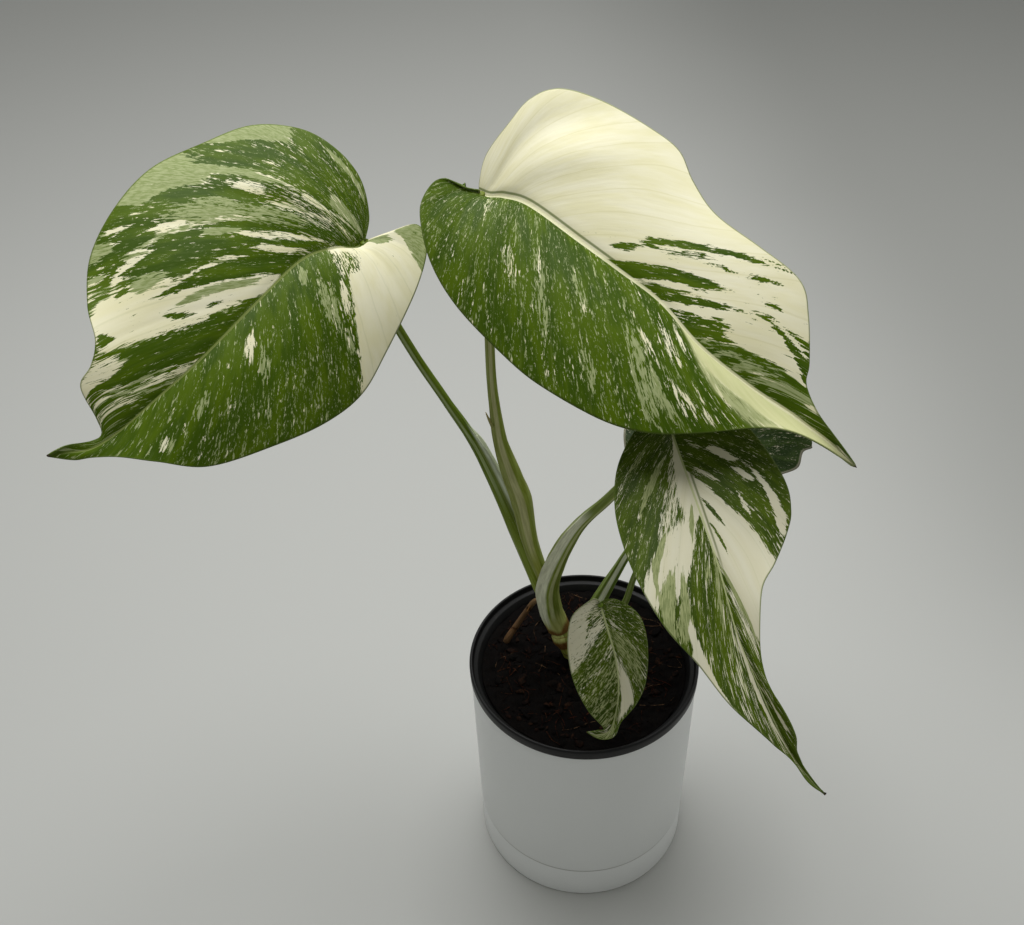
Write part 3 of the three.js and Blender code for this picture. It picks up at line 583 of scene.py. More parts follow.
# Grounds are (left half, right half). A streak is its half, its stops and its kind, and a stop is the share
# of the way out, the vein and the half width, in thousandths
paints = {
    "leaf_left": {
        "pale": (0.17, 0.2), "cream": (0.3, 0.4), "speck": (0.7, 0.6), "wash": (0, 0),
        "streaks": [
            (1, [(840, 300, 10), (920, 310, 50), (1000, 310, 70)], solidSage),
            (1, [(750, 130, 4), (800, 130, 30), (850, 150, 50), (910, 190, 15)],
             dict(solidSage, cream=0.3)),
            (1, [(100, 470, 60), (300, 500, 60), (600, 470, 50)], dict(flecked, pale=0.36, cream=0.6)),
            (1, [(200, 560, 20), (400, 560, 30), (600, 570, 30), (720, 575, 20)], dict(mixed, cream=0.15)),
            (1, [(100, 240, 15), (150, 262, 29), (280, 336, 50), (350, 344, 50), (420, 339, 20),
                 (470, 335, 4)], dict(solidSage, cream=0.3)),
            (1, [(180, 361, 8), (220, 390, 10), (300, 444, 11), (370, 443, 14), (420, 441, 4)],
             dict(sageMix, pale=0.9, cream=0.5)),
            (1, [(100, 410, 6), (180, 464, 8), (230, 492, 9), (280, 506, 10), (350, 513, 9), (410, 513, 3)],
             dict(sageMix, pale=0.85, cream=0.5)),
            (1, [(480, 493, 3), (550, 487, 12), (610, 482, 12), (660, 478, 3)], ivoryFleck),
            (1, [(500, 440, 3), (570, 452, 7), (660, 441, 10), (740, 448, 12), (840, 453, 14)], solidSage),
            (1, [(640, 391, 3), (690, 389, 7), (740, 386, 3)], ivoryFleck),
            (1, [(740, 490, 10), (820, 471, 45), (880, 490, 65), (940, 500, 75), (1000, 500, 80)],
             solidSage),
            (1, [(700, 400, 30), (800, 410, 25), (880, 425, 18), (920, 430, 6)], green),
            (1, [(450, 522, 8), (580, 514, 18), (690, 526, 15), (730, 541, 12), (800, 546, 4)], darkest),
            (1, [(500, 544, 4), (570, 534, 6), (610, 533, 7), (660, 539, 5)], sage),
            (1, [(470, 573, 6), (540, 571, 14), (600, 570, 6)], solidSage),
            (1, [(860, 571, 5), (930, 566, 14), (1000, 572, 20)], darkest),
            (1, [(340, 574, 6), (440, 584, 10), (560, 603, 14), (670, 621, 16), (710, 644, 16),
                 (780, 668, 14)], dict(sageMix, pale=0.78, cream=0.45)),
            (1, [(600, 595, 3), (680, 605, 9), (760, 610, 3)], ivoryFleck),
            (1, [(840, 595, 3), (900, 600, 5), (980, 605, 3)], ivoryFleck),
            (1, [(220, 599, 6), (340, 597, 9), (430, 602, 8), (500, 618, 10), (600, 630, 6)], darkest),
            (1, [(360, 615, 4), (410, 618, 11), (450, 621, 9), (510, 621, 3)], solidSage),
            (1, [(30, 575, 6), (70, 592, 9), (110, 611, 13), (170, 618, 14), (240, 623, 14), (310, 624, 10),
                 (370, 623, 3)], dict(ivoryMix, pale=0.72)),
            (1, [(50, 637, 7), (200, 642, 6), (400, 647, 13), (600, 660, 15)], darkest),
            (1, [(30, 657, 5), (100, 664, 10), (160, 661, 10), (220, 661, 9), (260, 670, 4)], ivoryFleck),
            (1, [(40, 686, 8), (130, 685, 12), (280, 681, 13), (420, 684, 18), (550, 694, 10)], darkest),
            (1, [(210, 686, 3), (300, 687, 6), (350, 689, 4)], ivoryFleck),
            (1, [(40, 724, 10), (180, 717, 16), (290, 717, 15), (380, 730, 11), (460, 741, 6),
                 (580, 751, 3)], darkest),
            (1, [(290, 694, 2), (360, 704, 5), (390, 715, 5), (430, 729, 3)], ivoryFleck),
            (1, [(0, 756, 18), (80, 765, 27), (180, 774, 35), (300, 776, 34), (450, 778, 30),
                 (600, 772, 32), (800, 770, 32), (930, 765, 28), (1000, 760, 20)], dict(ivory, pale=0.98)),
            (1, [(420, 729, 6), (490, 729, 12), (610, 727, 18), (730, 730, 20), (880, 739, 18),
                 (970, 745, 10)], dict(ivory, pale=0.98, cream=0.8)),
            (1, [(60, 743, 4), (170, 747, 10), (260, 755, 12), (320, 762, 9), (380, 768, 4)], solidSage),
            (1, [(200, 794, 2), (280, 792, 6), (350, 784, 6), (410, 777, 2)], dict(mixed, pale=0.4)),
            (1, [(130, 778, 2), (170, 781, 5), (210, 781, 3)], dict(mixed, pale=0.35)),
            (1, [(660, 655, 4), (710, 667, 10), (740, 680, 14), (800, 697, 10)], dict(ivoryMix, pale=0.95)),
            (1, [(690, 677, 3), (730, 684, 6), (780, 691, 3)], green),
            (1, [(660, 715, 3), (710, 718, 6), (770, 721, 3)], green),
            (1, [(490, 706, 7), (580, 712, 15), (660, 713, 9)], sage),
            (1, [(660, 618, 4), (780, 630, 12), (880, 645, 10)], darkest),
            (1, [(800, 665, 6), (890, 682, 20), (1000, 690, 30)], dict(flecked, pale=0.3)),
            (1, [(870, 637, 4), (940, 635, 14), (1000, 632, 20)], sage),
            (1, [(850, 680, 3), (920, 682, 6), (1000, 684, 4)], sage),
            (1, [(750, 785, 3), (900, 780, 12), (980, 775, 10)], green),
            (1, [(0, 840, 25), (300, 848, 27), (600, 845, 20), (740, 845, 8)], darkest),
            (1, [(600, 830, 8), (800, 835, 25), (1000, 840, 35)], ivoryMix),
            (1, [(0, 890, 12), (300, 890, 22), (700, 890, 22), (1000, 890, 20)], mixed),
            (1, [(0, 950, 35), (1000, 950, 40)], dict(flecked, cream=0.1)),
            (0, [(0, 200, 220), (120, 200, 215), (300, 200, 190), (600, 200, 208), (1000, 200, 240)],
             ivory),
            (0, [(50, 400, 20), (140, 385, 40), (300, 370, 45), (390, 360, 15)],
             dict(flecked, pale=0.5, cream=1.0)),
            (0, [(20, 310, 6), (200, 325, 20), (330, 335, 6)], dict(mixed, pale=0.7, cream=1.0)),
            (0, [(0, 240, 100), (70, 220, 60), (120, 200, 20)], green),
            (0, [(100, 170, 20), (300, 170, 50), (500, 170, 20)], sage),
            (0, [(600, 140, 10), (750, 145, 40), (1000, 150, 55)], sage),
            (0, [(300, 420, 4), (450, 425, 14), (620, 425, 4)], ivoryMix),
            (0, [(600, 445, 6), (700, 445, 15), (780, 445, 4)], sageMix),
            (0, [(40, 530, 4), (100, 530, 16), (170, 530, 4)], sage),
            (0, [(200, 485, 6), (320, 485, 18), (480, 485, 4)], sageMix),
            (0, [(300, 460, 4), (450, 465, 13), (600, 465, 4)], sageMix),
            (0, [(120, 685, 3), (220, 685, 14), (320, 685, 4)], ivoryMix),
            (0, [(330, 655, 3), (430, 652, 14), (550, 650, 4)], sageMix),
            (0, [(300, 780, 3), (420, 780, 12), (520, 780, 3)], sageMix),
            (0, [(600, 820, 4), (750, 820, 13), (850, 820, 3)], sageMix),
            (0, [(450, 620, 100), (1000, 620, 200)], dusted),
            (0, [(0, 890, 30), (300, 890, 20)], dict(flecked, cream=0.1)),
        ],
    },
    "leaf_top": {
        "pale": (1.5, 0.17), "cream": (1.3, 0.3), "speck": (0.2, 1.0), "wash": (0, 0),
        "streaks": [
            (0, [(50, 760, 140), (500, 750, 140), (1000, 750, 120)], {"pale": 1.0}),
            (0, [(100, 674, 4), (130, 672, 8), (180, 670, 10), (250, 664, 3)], green),
            (0, [(270, 659, 5), (340, 652, 9), (420, 645, 7), (530, 643, 13), (610, 645, 9), (720, 641, 3)],
             green),
            (0, [(300, 670, 4), (410, 671, 8), (500, 669, 10), (640, 661, 5)], dict(mixed, pale=0.38)),
            (0, [(620, 655, 4), (700, 653, 9), (760, 654, 11), (830, 660, 13), (910, 675, 4)], green),
            (0, [(900, 659, 2), (940, 664, 4), (990, 676, 3)], green),
            (0, [(900, 676, 2), (960, 684, 4), (1000, 690, 2)], green),
            (0, [(500, 691, 2), (550, 690, 4), (610, 690, 2)], green),
            (0, [(560, 695, 2), (600, 698, 5), (640, 703, 2)], green),
            (0, [(660, 711, 4), (720, 711, 7), (770, 712, 6), (850, 721, 2)], green),
            (0, [(0, 725, 25), (60, 728, 22), (140, 732, 21), (280, 732, 22), (390, 736, 13),
                 (470, 738, 3)], darkest),
            (0, [(0, 768, 12), (60, 764, 8), (150, 762, 7), (250, 759, 3)], green),
            (0, [(70, 752, 3), (160, 753, 8), (260, 750, 4)], ivory),
            (0, [(0, 782, 10), (60, 780, 9), (190, 779, 10), (280, 779, 10), (370, 780, 5), (480, 783, 3)],
             green),
            (0, [(0, 810, 12), (130, 811, 12), (210, 810, 13), (300, 809, 8)], dict(green, pale=0.25)),
            (0, [(80, 795, 3), (170, 797, 7), (280, 791, 4)], ivory),
            (0, [(0, 830, 14), (140, 830, 13), (200, 833, 8)], green),
            (0, [(600, 760, 2), (670, 762, 7), (740, 765, 2)], flecked),
            (0, [(490, 784, 3), (560, 786, 6), (620, 790, 10), (700, 806, 18), (800, 820, 26),
                 (920, 828, 32), (1000, 830, 36)], dict(green, pale=0.2)),
            (0, [(620, 786, 2), (750, 803, 4), (920, 820, 3)], ivory),
            (0, [(0, 860, 25), (130, 855, 18), (210, 856, 18), (320, 869, 22), (580, 880, 20),
                 (800, 880, 18), (1000, 878, 14)], dict(green, pale=0.3, cream=0.1, speck=1.2)),
            (0, [(0, 900, 30), (300, 900, 20), (700, 900, 14)], dict(flecked, pale=0.36, cream=0.2)),
            (0, [(70, 875, 3), (170, 873, 6), (280, 872, 3)], sage),
            (0, [(160, 888, 4), (400, 889, 8), (700, 889, 6), (990, 888, 5)], dict(sage, cream=0.4)),
            (0, [(0, 970, 45), (200, 955, 40), (560, 940, 30), (1000, 950, 45)],
             dict(green, pale=0.2, cream=0.3)),
            (1, [(40, 370, 70), (300, 370, 60)], {"speck": 1.7}),
            (1, [(220, 485, 4), (400, 485, 14), (600, 485, 14), (780, 485, 4)], dict(mixed, cream=0.3)),
            (1, [(400, 400, 10), (500, 410, 30), (620, 410, 10)], dict(mixed, pale=0.42)),
            (1, [(100, 300, 4), (250, 310, 16), (420, 320, 4)], dict(mixed, cream=0.4)),
            (1, [(200, 570, 4), (340, 575, 12), (500, 575, 4)], dict(mixed, pale=0.46, cream=0.3)),
            (1, [(620, 560, 4), (750, 565, 14), (900, 570, 4)], dict(mixed, cream=0.2)),
            (1, [(360, 670, 6), (460, 669, 12), (620, 666, 18), (800, 665, 16), (920, 665, 6)],
             dict(mixed, pale=0.68, cream=0.15)),
            (1, [(240, 680, 4), (320, 684, 9), (400, 694, 10), (480, 690, 4)], mixed),
            (1, [(500, 682, 4), (660, 691, 11), (780, 694, 12), (920, 697, 5)],
             dict(mixed, pale=0.62, cream=0.15)),
            (1, [(160, 740, 10), (320, 741, 22), (460, 736, 10)], dict(flecked, pale=0.45)),
            (1, [(100, 768, 5), (180, 772, 12), (260, 774, 5)], dict(mixed, pale=0.62)),
            (1, [(550, 720, 10), (700, 730, 20), (900, 750, 30)], dict(flecked, pale=0.42)),
            (1, [(0, 900, 115), (40, 900, 105), (100, 900, 100), (300, 900, 102), (500, 900, 100),
                 (750, 915, 95), (1000, 920, 90)], yellowish),
            (1, [(0, 920, 70), (60, 930, 50), (200, 960, 30), (350, 980, 10)], dict(ivory, wash=0.35)),
            (1, [(250, 806, 6), (330, 810, 12), (480, 824, 18), (720, 830, 22), (950, 840, 30)],
             dict(sageMix, pale=0.75, wash=0.3)),
        ],
    },
    "leaf_lower": {
        "pale": (0.13, 0.17), "cream": (0.7, 0.5), "speck": (0.8, 0.9), "wash": (0, 0),
        "streaks": [
            (1, [(500, 260, 6), (650, 270, 20), (850, 270, 8)], dict(mixed, cream=0.2)),
            (1, [(300, 140, 6), (500, 140, 20), (750, 140, 10)], dict(mixed, pale=0.46, cream=0.3)),
            (1, [(250, 850, 60), (600, 850, 70), (1000, 860, 60)], flecked),
            (1, [(100, 500, 60), (280, 530, 40), (400, 545, 45), (560, 520, 30)], dict(mixed, cream=0.8)),
            (1, [(0, 530, 160), (60, 560, 110), (130, 580, 70), (200, 600, 30)], ivory),
            (1, [(240, 418, 6), (350, 413, 12), (470, 407, 18), (600, 400, 12), (720, 400, 4)], sage),
            (1, [(100, 655, 12), (200, 640, 25), (320, 617, 36), (450, 595, 45), (570, 574, 50),
                 (750, 540, 45), (900, 510, 30), (1000, 500, 25)], dict(ivory, pale=1.0, cream=0.85)),
            (1, [(80, 640, 10), (150, 645, 14), (240, 647, 6)], sage),
            (1, [(500, 530, 6), (600, 520, 10), (780, 507, 13), (880, 526, 10)], sage),
            (1, [(600, 575, 10), (720, 570, 20), (880, 560, 28), (1000, 575, 22)], sage),
            (1, [(500, 622, 10), (580, 627, 16), (700, 633, 20), (880, 616, 16), (960, 610, 10)], sage),
            (1, [(720, 642, 8), (820, 650, 18), (920, 680, 35), (1000, 700, 65)], ivory),
            (1, [(0, 700, 12), (60, 695, 20), (190, 695, 33), (410, 684, 24), (630, 682, 30),
                 (780, 700, 32), (900, 735, 20)], dict(green, pale=0.24)),
            (1, [(100, 730, 8), (170, 725, 13), (280, 714, 6)], dict(mixed, cream=0.2)),
            (1, [(0, 770, 20), (130, 770, 20), (240, 773, 20), (350, 775, 10)], dict(mixed, cream=0.3)),
            (1, [(0, 830, 20), (250, 827, 26), (440, 828, 23), (600, 830, 10)],
             dict(mixed, pale=0.5, cream=0.4)),
            (1, [(0, 860, 12), (140, 885, 18), (290, 904, 25), (400, 932, 22), (550, 950, 10)], ivory),
            (0, [(200, 170, 10), (300, 175, 15), (400, 180, 5)], ivoryMix),
            (0, [(100, 330, 8), (180, 352, 14), (260, 360, 10)], mixed),
            (0, [(320, 350, 8), (380, 346, 16), (450, 344, 18), (580, 347, 6)], ivory),
            (0, [(80, 474, 5), (190, 472, 10), (310, 469, 4)], ivoryMix),
            (0, [(480, 390, 5), (570, 389, 12), (660, 387, 4)], ivory),
            (0, [(440, 465, 3), (500, 482, 7), (570, 491, 3)], ivory),
            (0, [(660, 345, 6), (720, 368, 15), (780, 395, 24), (870, 425, 27), (960, 440, 22)], ivory),
            (0, [(880, 465, 6), (950, 475, 14), (1000, 480, 14)], mixed),
            (0, [(720, 430, 5), (780, 441, 9), (830, 446, 4)], green),
            (0, [(0, 600, 100), (100, 615, 100), (260, 620, 92), (500, 615, 96), (750, 615, 93),
                 (1000, 600, 85)], ivory),
            (0, [(40, 565, 6), (100, 576, 12), (170, 584, 12), (270, 589, 4)], green),
            (0, [(50, 627, 5), (120, 634, 9), (180, 640, 10), (290, 660, 5)], green),
            (0, [(30, 720, 6), (370, 715, 10), (700, 707, 10), (880, 705, 4)], sage),
            (0, [(60, 750, 10), (250, 745, 18), (420, 742, 22), (770, 730, 18), (900, 725, 8)],
             dict(sageMix, cream=0.5)),
            (0, [(0, 840, 60), (600, 840, 70), (850, 840, 60)], dict(flecked, pale=0.28, cream=0.9)),
            (0, [(330, 862, 6), (410, 878, 13), (500, 886, 12), (640, 885, 5)], ivory),
        ],
    },
    "leaf_front": {
        "pale": (0.25, 0.3), "cream": (0.75, 0.8), "speck": (1.2, 1.4), "wash": (0, 0),
        "streaks": [
            (1, [(400, 200, 100), (600, 250, 220), (1000, 280, 270)], dict(ivoryMix, pale=0.85)),
            (1, [(0, 250, 150), (300, 250, 160), (500, 250, 100)], dict(flecked, pale=0.38, cream=0.9)),
            (1, [(80, 450, 30), (500, 460, 50)], ivoryMix),
            (1, [(500, 460, 20), (800, 520, 80), (1000, 560, 100)], ivoryMix),
            (1, [(0, 560, 50), (1000, 600, 60)], dict(flecked, cream=0.2)),
            (1, [(0, 780, 130), (1000, 800, 130)], dict(flecked, pale=0.42, cream=0.15)),
            (0, [(0, 200, 150), (1000, 300, 120)], dict(flecked, pale=0.25, cream=0.9)),
            (0, [(80, 430, 10), (200, 440, 20), (300, 450, 10)], dict(sageMix, cream=0.5)),
            (0, [(0, 550, 70), (500, 550, 90), (850, 560, 60)], dict(sageMix, pale=0.56, cream=0.1)),
            (0, [(50, 730, 40), (400, 740, 60), (800, 740, 60)], ivory),
            (0, [(0, 930, 60), (1000, 930, 60)], dict(mixed, cream=0.2)),
        ],
    },
    "leaf_back": {
        "pale": (0.12, 0.12), "cream": (0.7, 0.7), "speck": (0.8, 0.8), "wash": (0, 0),
        "streaks": [
            (1, [(100, 120, 10), (500, 130, 30), (900, 130, 20)], dict(sageMix, pale=0.6)),
            (1, [(300, 700, 10), (600, 720, 30), (900, 720, 30)], ivoryMix),
            (0, [(200, 400, 10), (500, 420, 40), (900, 420, 50)], ivoryMix),
        ],
    },
    "leaf_inner": {
        "pale": (0.15, 0.25), "cream": (0.7, 0.7), "speck": (0.8, 0.8), "wash": (0, 0),
        "streaks": [
            (1, [(200, 600, 50), (1000, 600, 100)], ivoryMix),
            (0, [(100, 400, 30), (900, 420, 60)], sageMix),
        ],
    },
}


# Streaks soften at their sides and at ends inside the blade, and a later one covers an earlier one
def painted(paint, at, marginLength):
    fields = {key: np.take(np.array(paint[key], float), at["half"]) for key in paintNames}
    for side, stops, kind in paint["streaks"]:
        out, middle, spread = np.array(stops).T / 1000
        here = np.clip(at["share"], out[0], out[-1])
        fromMiddle = np.abs(at["vein"] - np.interp(here, out, middle))
        depth = (np.interp(here, out, spread) - fromMiddle) * marginLength[side]
        soft = np.clip(0.7 * spread.max() * marginLength[side], 1.0, 2.4)
        inside = smoothStep(-soft, soft, depth) * (at["half"] == side)
        ending = np.clip((out[-1] - out[0]) * at["width"] * 0.25, 1.0, 4.0)
        if out[0] > 0:
            inside = inside * smoothStep(-1, 1, (at["share"] - out[0]) * at["width"] / ending)
        if out[-1] < 1:
            inside = inside * smoothStep(-1, 1, (out[-1] - at["share"]) * at["width"] / ending)
        for key, value in kind.items():
            fields[key] += (value - fields[key]) * inside
    return fields


bladeShape = {"thickness": 0.55, "veinPull": 1.7, "bendSpan": 0.42, "waveShift": 1.5, "ridges": 11,
              "ridgeShift": 0.35, "ribDepth": 0.55, "ribHalf": 2.2}


def bladeLayout(leaf, margins, column, row):  # where each grid vertex lies on the blade
    midrib = Course(leaf["midrib"])
    signed = 1 - column / leaf["columns"]
    half = (signed < 0).astype(int)
    share = np.abs(signed)
    s = row / leaf["rows"]
    station = s ** bladeShape["veinPull"]
    root = midrib.at(station)
    edge = np.where((half == 0)[:, None], margins[0].at(s), margins[1].at(s))
    width = np.linalg.norm(edge - root, axis=1)
    fan = np.take(leaf["fan"], half)
    vein = np.clip(s, 1e-6, 1) ** (fan + (1 - fan) * share)
    return {"half": half, "share": share, "s": s, "station": station, "width": width, "gap": width * share,
            "flat": root + (edge - root) * share[:, None], "vein": vein}


# The blade arches, bends down to its margins, waves there, swells in places and is creased along the midrib
def bladeHeight(leaf, at, length, marginLength):
    half, share, s, station, gap = (at[key] for key in ("half", "share", "s", "station", "gap"))
    height = leaf["arch"] * np.sin(math.pi * station) + np.take(leaf["rise"], half) * gap
    height -= np.take(leaf["camber"], half) * gap ** 2 / (bladeShape["bendSpan"] * length)
    waves, turns = leaf["wave"]
    swing = 2 * math.pi * turns * station + bladeShape["waveShift"] * half
    height += waves * share ** 2 * np.sin(swing)
    inner = smoothStep(0, 6, gap) * smoothStep(0, 8, at["width"] - gap)
    inner = inner * smoothStep(0, 0.12, s) * smoothStep(1, 0.85, s)
    ridges = np.abs(np.sin(math.pi * (bladeShape["ridges"] * at["vein"] + bladeShape["ridgeShift"] * half)))
    height += np.take(leaf["quilt"], half) * (ridges ** 0.6 - 0.6) * inner
    crease = np.exp(-(gap / bladeShape["ribHalf"]) ** 2) * smoothStep(1, 0.9, s) * smoothStep(0, 0.05, s)
    height -= bladeShape["ribDepth"] * crease
    for side, swellShare, swellVein, radius, lift in leaf["swells"]:
        dx = (share - swellShare) * at["width"]
        dy = (at["vein"] - swellVein) * marginLength[side]
        height += lift * np.exp(-(dx * dx + dy * dy) / radius ** 2) * (half == side) * smoothStep(0, 5, gap)
    return height


def trimToBox(bm, name):
    low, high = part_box(name)
    for vert in bm.verts:
        vert.co = [min(max(c, l), h) for c, l, h in zip(vert.co, low, high)]


def bladeBody(name, leaf):
    origin, along, side, up, length = bladeAxes(leaf)
    margins = [Course(leaf["left"]), Course(leaf["right"])]
    marginLength = [margin.length for margin in margins]
    bm = bmesh.new()
    layers = {key: bm.verts.layers.float.new(key) for key in fieldNames}
    veinLayer = bm.verts.layers.float_vector.new("veins")
    verts, column, row = gridOf(bm, 2 * leaf["columns"], leaf["rows"])
    at = bladeLayout(leaf, margins, column, row)
    height = bladeHeight(leaf, at, length, marginLength)
    flat = at["flat"]
    moveTo(verts, (origin + flat[:, :1] * along + flat[:, 1:] * side + height[:, None] * up) * mm)
    fields = painted(paints[name], at, marginLength)
    fields["toEdge"] = at["width"] - at["gap"]
    fields["toRib"] = np.where(at["half"] == 0, at["gap"], -at["gap"])
    fields["station"] = at["station"]
    acrossVeins = at["vein"] * np.take(marginLength, at["half"])
    places = np.stack([at["gap"], acrossVeins, 40.0 * at["half"]], axis=1) * leaf["detail"]
    for k, vert in enumerate(verts):
        for key, layer in layers.items():
            vert[layer] = fields[key][k]
        vert[veinLayer] = places[k]
    weld(bm)
    bm.normal_update()
    bmesh.ops.solidify(bm, geom=bm.faces[:], thickness=bladeShape["thickness"] * mm)
    trimToBox(bm, name)
    bm.normal_update()
    upVector = Vector(up)
    for face in bm.faces:
        face.material_index = 1 if face.normal.dot(upVector) < -0.05 else 0
    finishes = [leafFinishes[leaf["finish"]], leafFinishes["leaf_under"]]
    finished(name + "_blade", bm, finishes, name)


for name, leaf in leaves.items():
    bladeBody(name, leaf)
print("leaves made")

# Stalks: rings along a route of (x, y, z, radius, fin height), coloured by stripes at an angle from the inner
# side, each (angle, half width, start, end, tone), and by bands across, each (place, half width, tone)
stalkShape = {"sides": 64, "perSpan": 20, "finAngle": math.radians(38), "finSpread": math.radians(8),
              "capRing": 0.8, "capRise": 0.12, "stripeEnd": 0.04}
stalkLook = {"light": (1.75, 1.05), "dark": (1.25, 1.15), "dots": tone(176, 180, 140), "shine": 0.115}


def stalkFinish(name, roughness):
    f = Finish(name)
    tint = f.attribute("tint", "Color")
    grainPlace = f.attribute("grain", "Vector")
    line = f.grain(f.stretched(grainPlace, (1.1, 0.06, 1.0)), 1.0, 4.0, 0.6)
    dot = f.grain(f.stretched(grainPlace, (1.6, 0.8, 1.0)), 1.0, 2.0)
    light, dark = [f.node("ShaderNodeHueSaturation", None,
                          {"Color": tint, "Value": value, "Saturation": richness})
                   for value, richness in (stalkLook["light"], stalkLook["dark"])]
    shade = f.mix(f.step(line, 0.35, 0.65), light, dark)
    shade = f.mix(f.step(dot, 0.66, 0.72) * 0.3, shade, stalkLook["dots"])
    f.give(Base_Color=shade, Roughness=roughness + 0.15 * dot, Specular_IOR_Level=stalkLook["shine"],
           Normal=f.bump(line, 0.0002, 0.4))
    return f


def angleGap(angle, middle):
    return np.abs((angle - middle + math.pi) % (2 * math.pi) - math.pi)


def stalkTints(stalk, share, angle):
    places = [place for place, shade in stalk["tint"]]
    shades = np.array([tone(*shade) for place, shade in stalk["tint"]])
    soft = stalkShape["stripeEnd"]
    colour = np.stack([np.interp(share, places, channel) for channel in shades.T], axis=1)
    for centre, spread, start, end, shade in stalk.get("stripes", ()):
        mask = smoothStep(spread * 1.15, spread * 0.8, np.degrees(angleGap(angle, math.radians(centre))))
        mask = mask * smoothStep(start - soft, start + soft, share)
        mask = mask * smoothStep(end + soft, end - soft, share)
        colour += (np.array(tone(*shade)) - colour) * mask[:, None]
    for centre, spread, shade in stalk.get("bands", ()):
        ragged = centre + 0.012 * np.sin(2 * angle + 1) + 0.006 * np.sin(5 * angle)
        mask = smoothStep(spread * 1.3, spread * 0.6, np.abs(share - ragged))
        colour += (np.array(tone(*shade)) - colour) * mask[:, None]
    return colour


# Two more rings close each end: one drawn in, and one whose vertices meet in a point
def stalkTube(bm, stalk, sides=stalkShape["sides"], perSpan=stalkShape["perSpan"]):
    tintLayer = bm.verts.layers.float_color["tint"]
    grainLayer = bm.verts.layers.float_vector["grain"]
    route = np.array(stalk["route"], float)
    spans = len(route) - 1
    rings = spans * perSpan
    verts, column, row = gridOf(bm, sides, rings + 4)
    index = np.clip(row - 2, 0, rings) / perSpan
    middle, ahead, behind = [curveAt(route[:, :3], np.clip(index + shift, 0, spans), doubledEnds=False)
                             for shift in (0, 0.02, -0.02)]
    along = ahead - behind
    along /= np.linalg.norm(along, axis=1)[:, None]
    inward = np.array(stalk["inward"], float)
    inner = inward - (along @ inward)[:, None] * along
    inner /= np.linalg.norm(inner, axis=1)[:, None]
    side = np.cross(along, inner)
    plain = np.interp(index, range(spans + 1), route[:, 3])
    fin = np.interp(index, range(spans + 1), route[:, 4])
    angle = 2 * math.pi * column / sides
    fromFin = [angleGap(angle, sign * stalkShape["finAngle"]) / stalkShape["finSpread"] for sign in (1, -1)]
    radius = plain + fin * sum(np.exp(-gap ** 2) for gap in fromFin)
    radius *= 1 + 0.025 * np.sin(3 * angle + 9 * index / spans) + 0.015 * np.sin(7 * angle - 5 * index)
    beyond = np.where(row < 2, row - 2.0, np.where(row > rings + 2, row - rings - 2.0, 0.0))
    radius *= np.choose(np.abs(beyond).astype(int), (1.0, stalkShape["capRing"], 0.0))
    out = inner * np.cos(angle)[:, None] + side * np.sin(angle)[:, None]
    cap = along * (beyond * plain * stalkShape["capRise"])[:, None]
    moveTo(verts, (middle + out * radius[:, None] + cap) * mm)
    share = index / spans
    colour = stalkTints(stalk, share, angle)
    grain = np.stack([angle * 4, share * spans * 25, 0 * angle + route[0, 0]], axis=1)
    for k, vert in enumerate(verts):
        vert[tintLayer] = colour[k]
        vert[grainLayer] = grain[k]


def tintedMesh():
    bm = bmesh.new()
    bm.verts.layers.float_color.new("tint")
    bm.verts.layers.float_vector.new("grain")
    return bm


def stalkBody(name, tubes, finish):
    bm = tintedMesh()
    for tube in tubes:
        stalkTube(bm, tube)
    weld(bm)
    pointOutwards(bm)
    finished(name + "_stalk", bm, [finish], name)


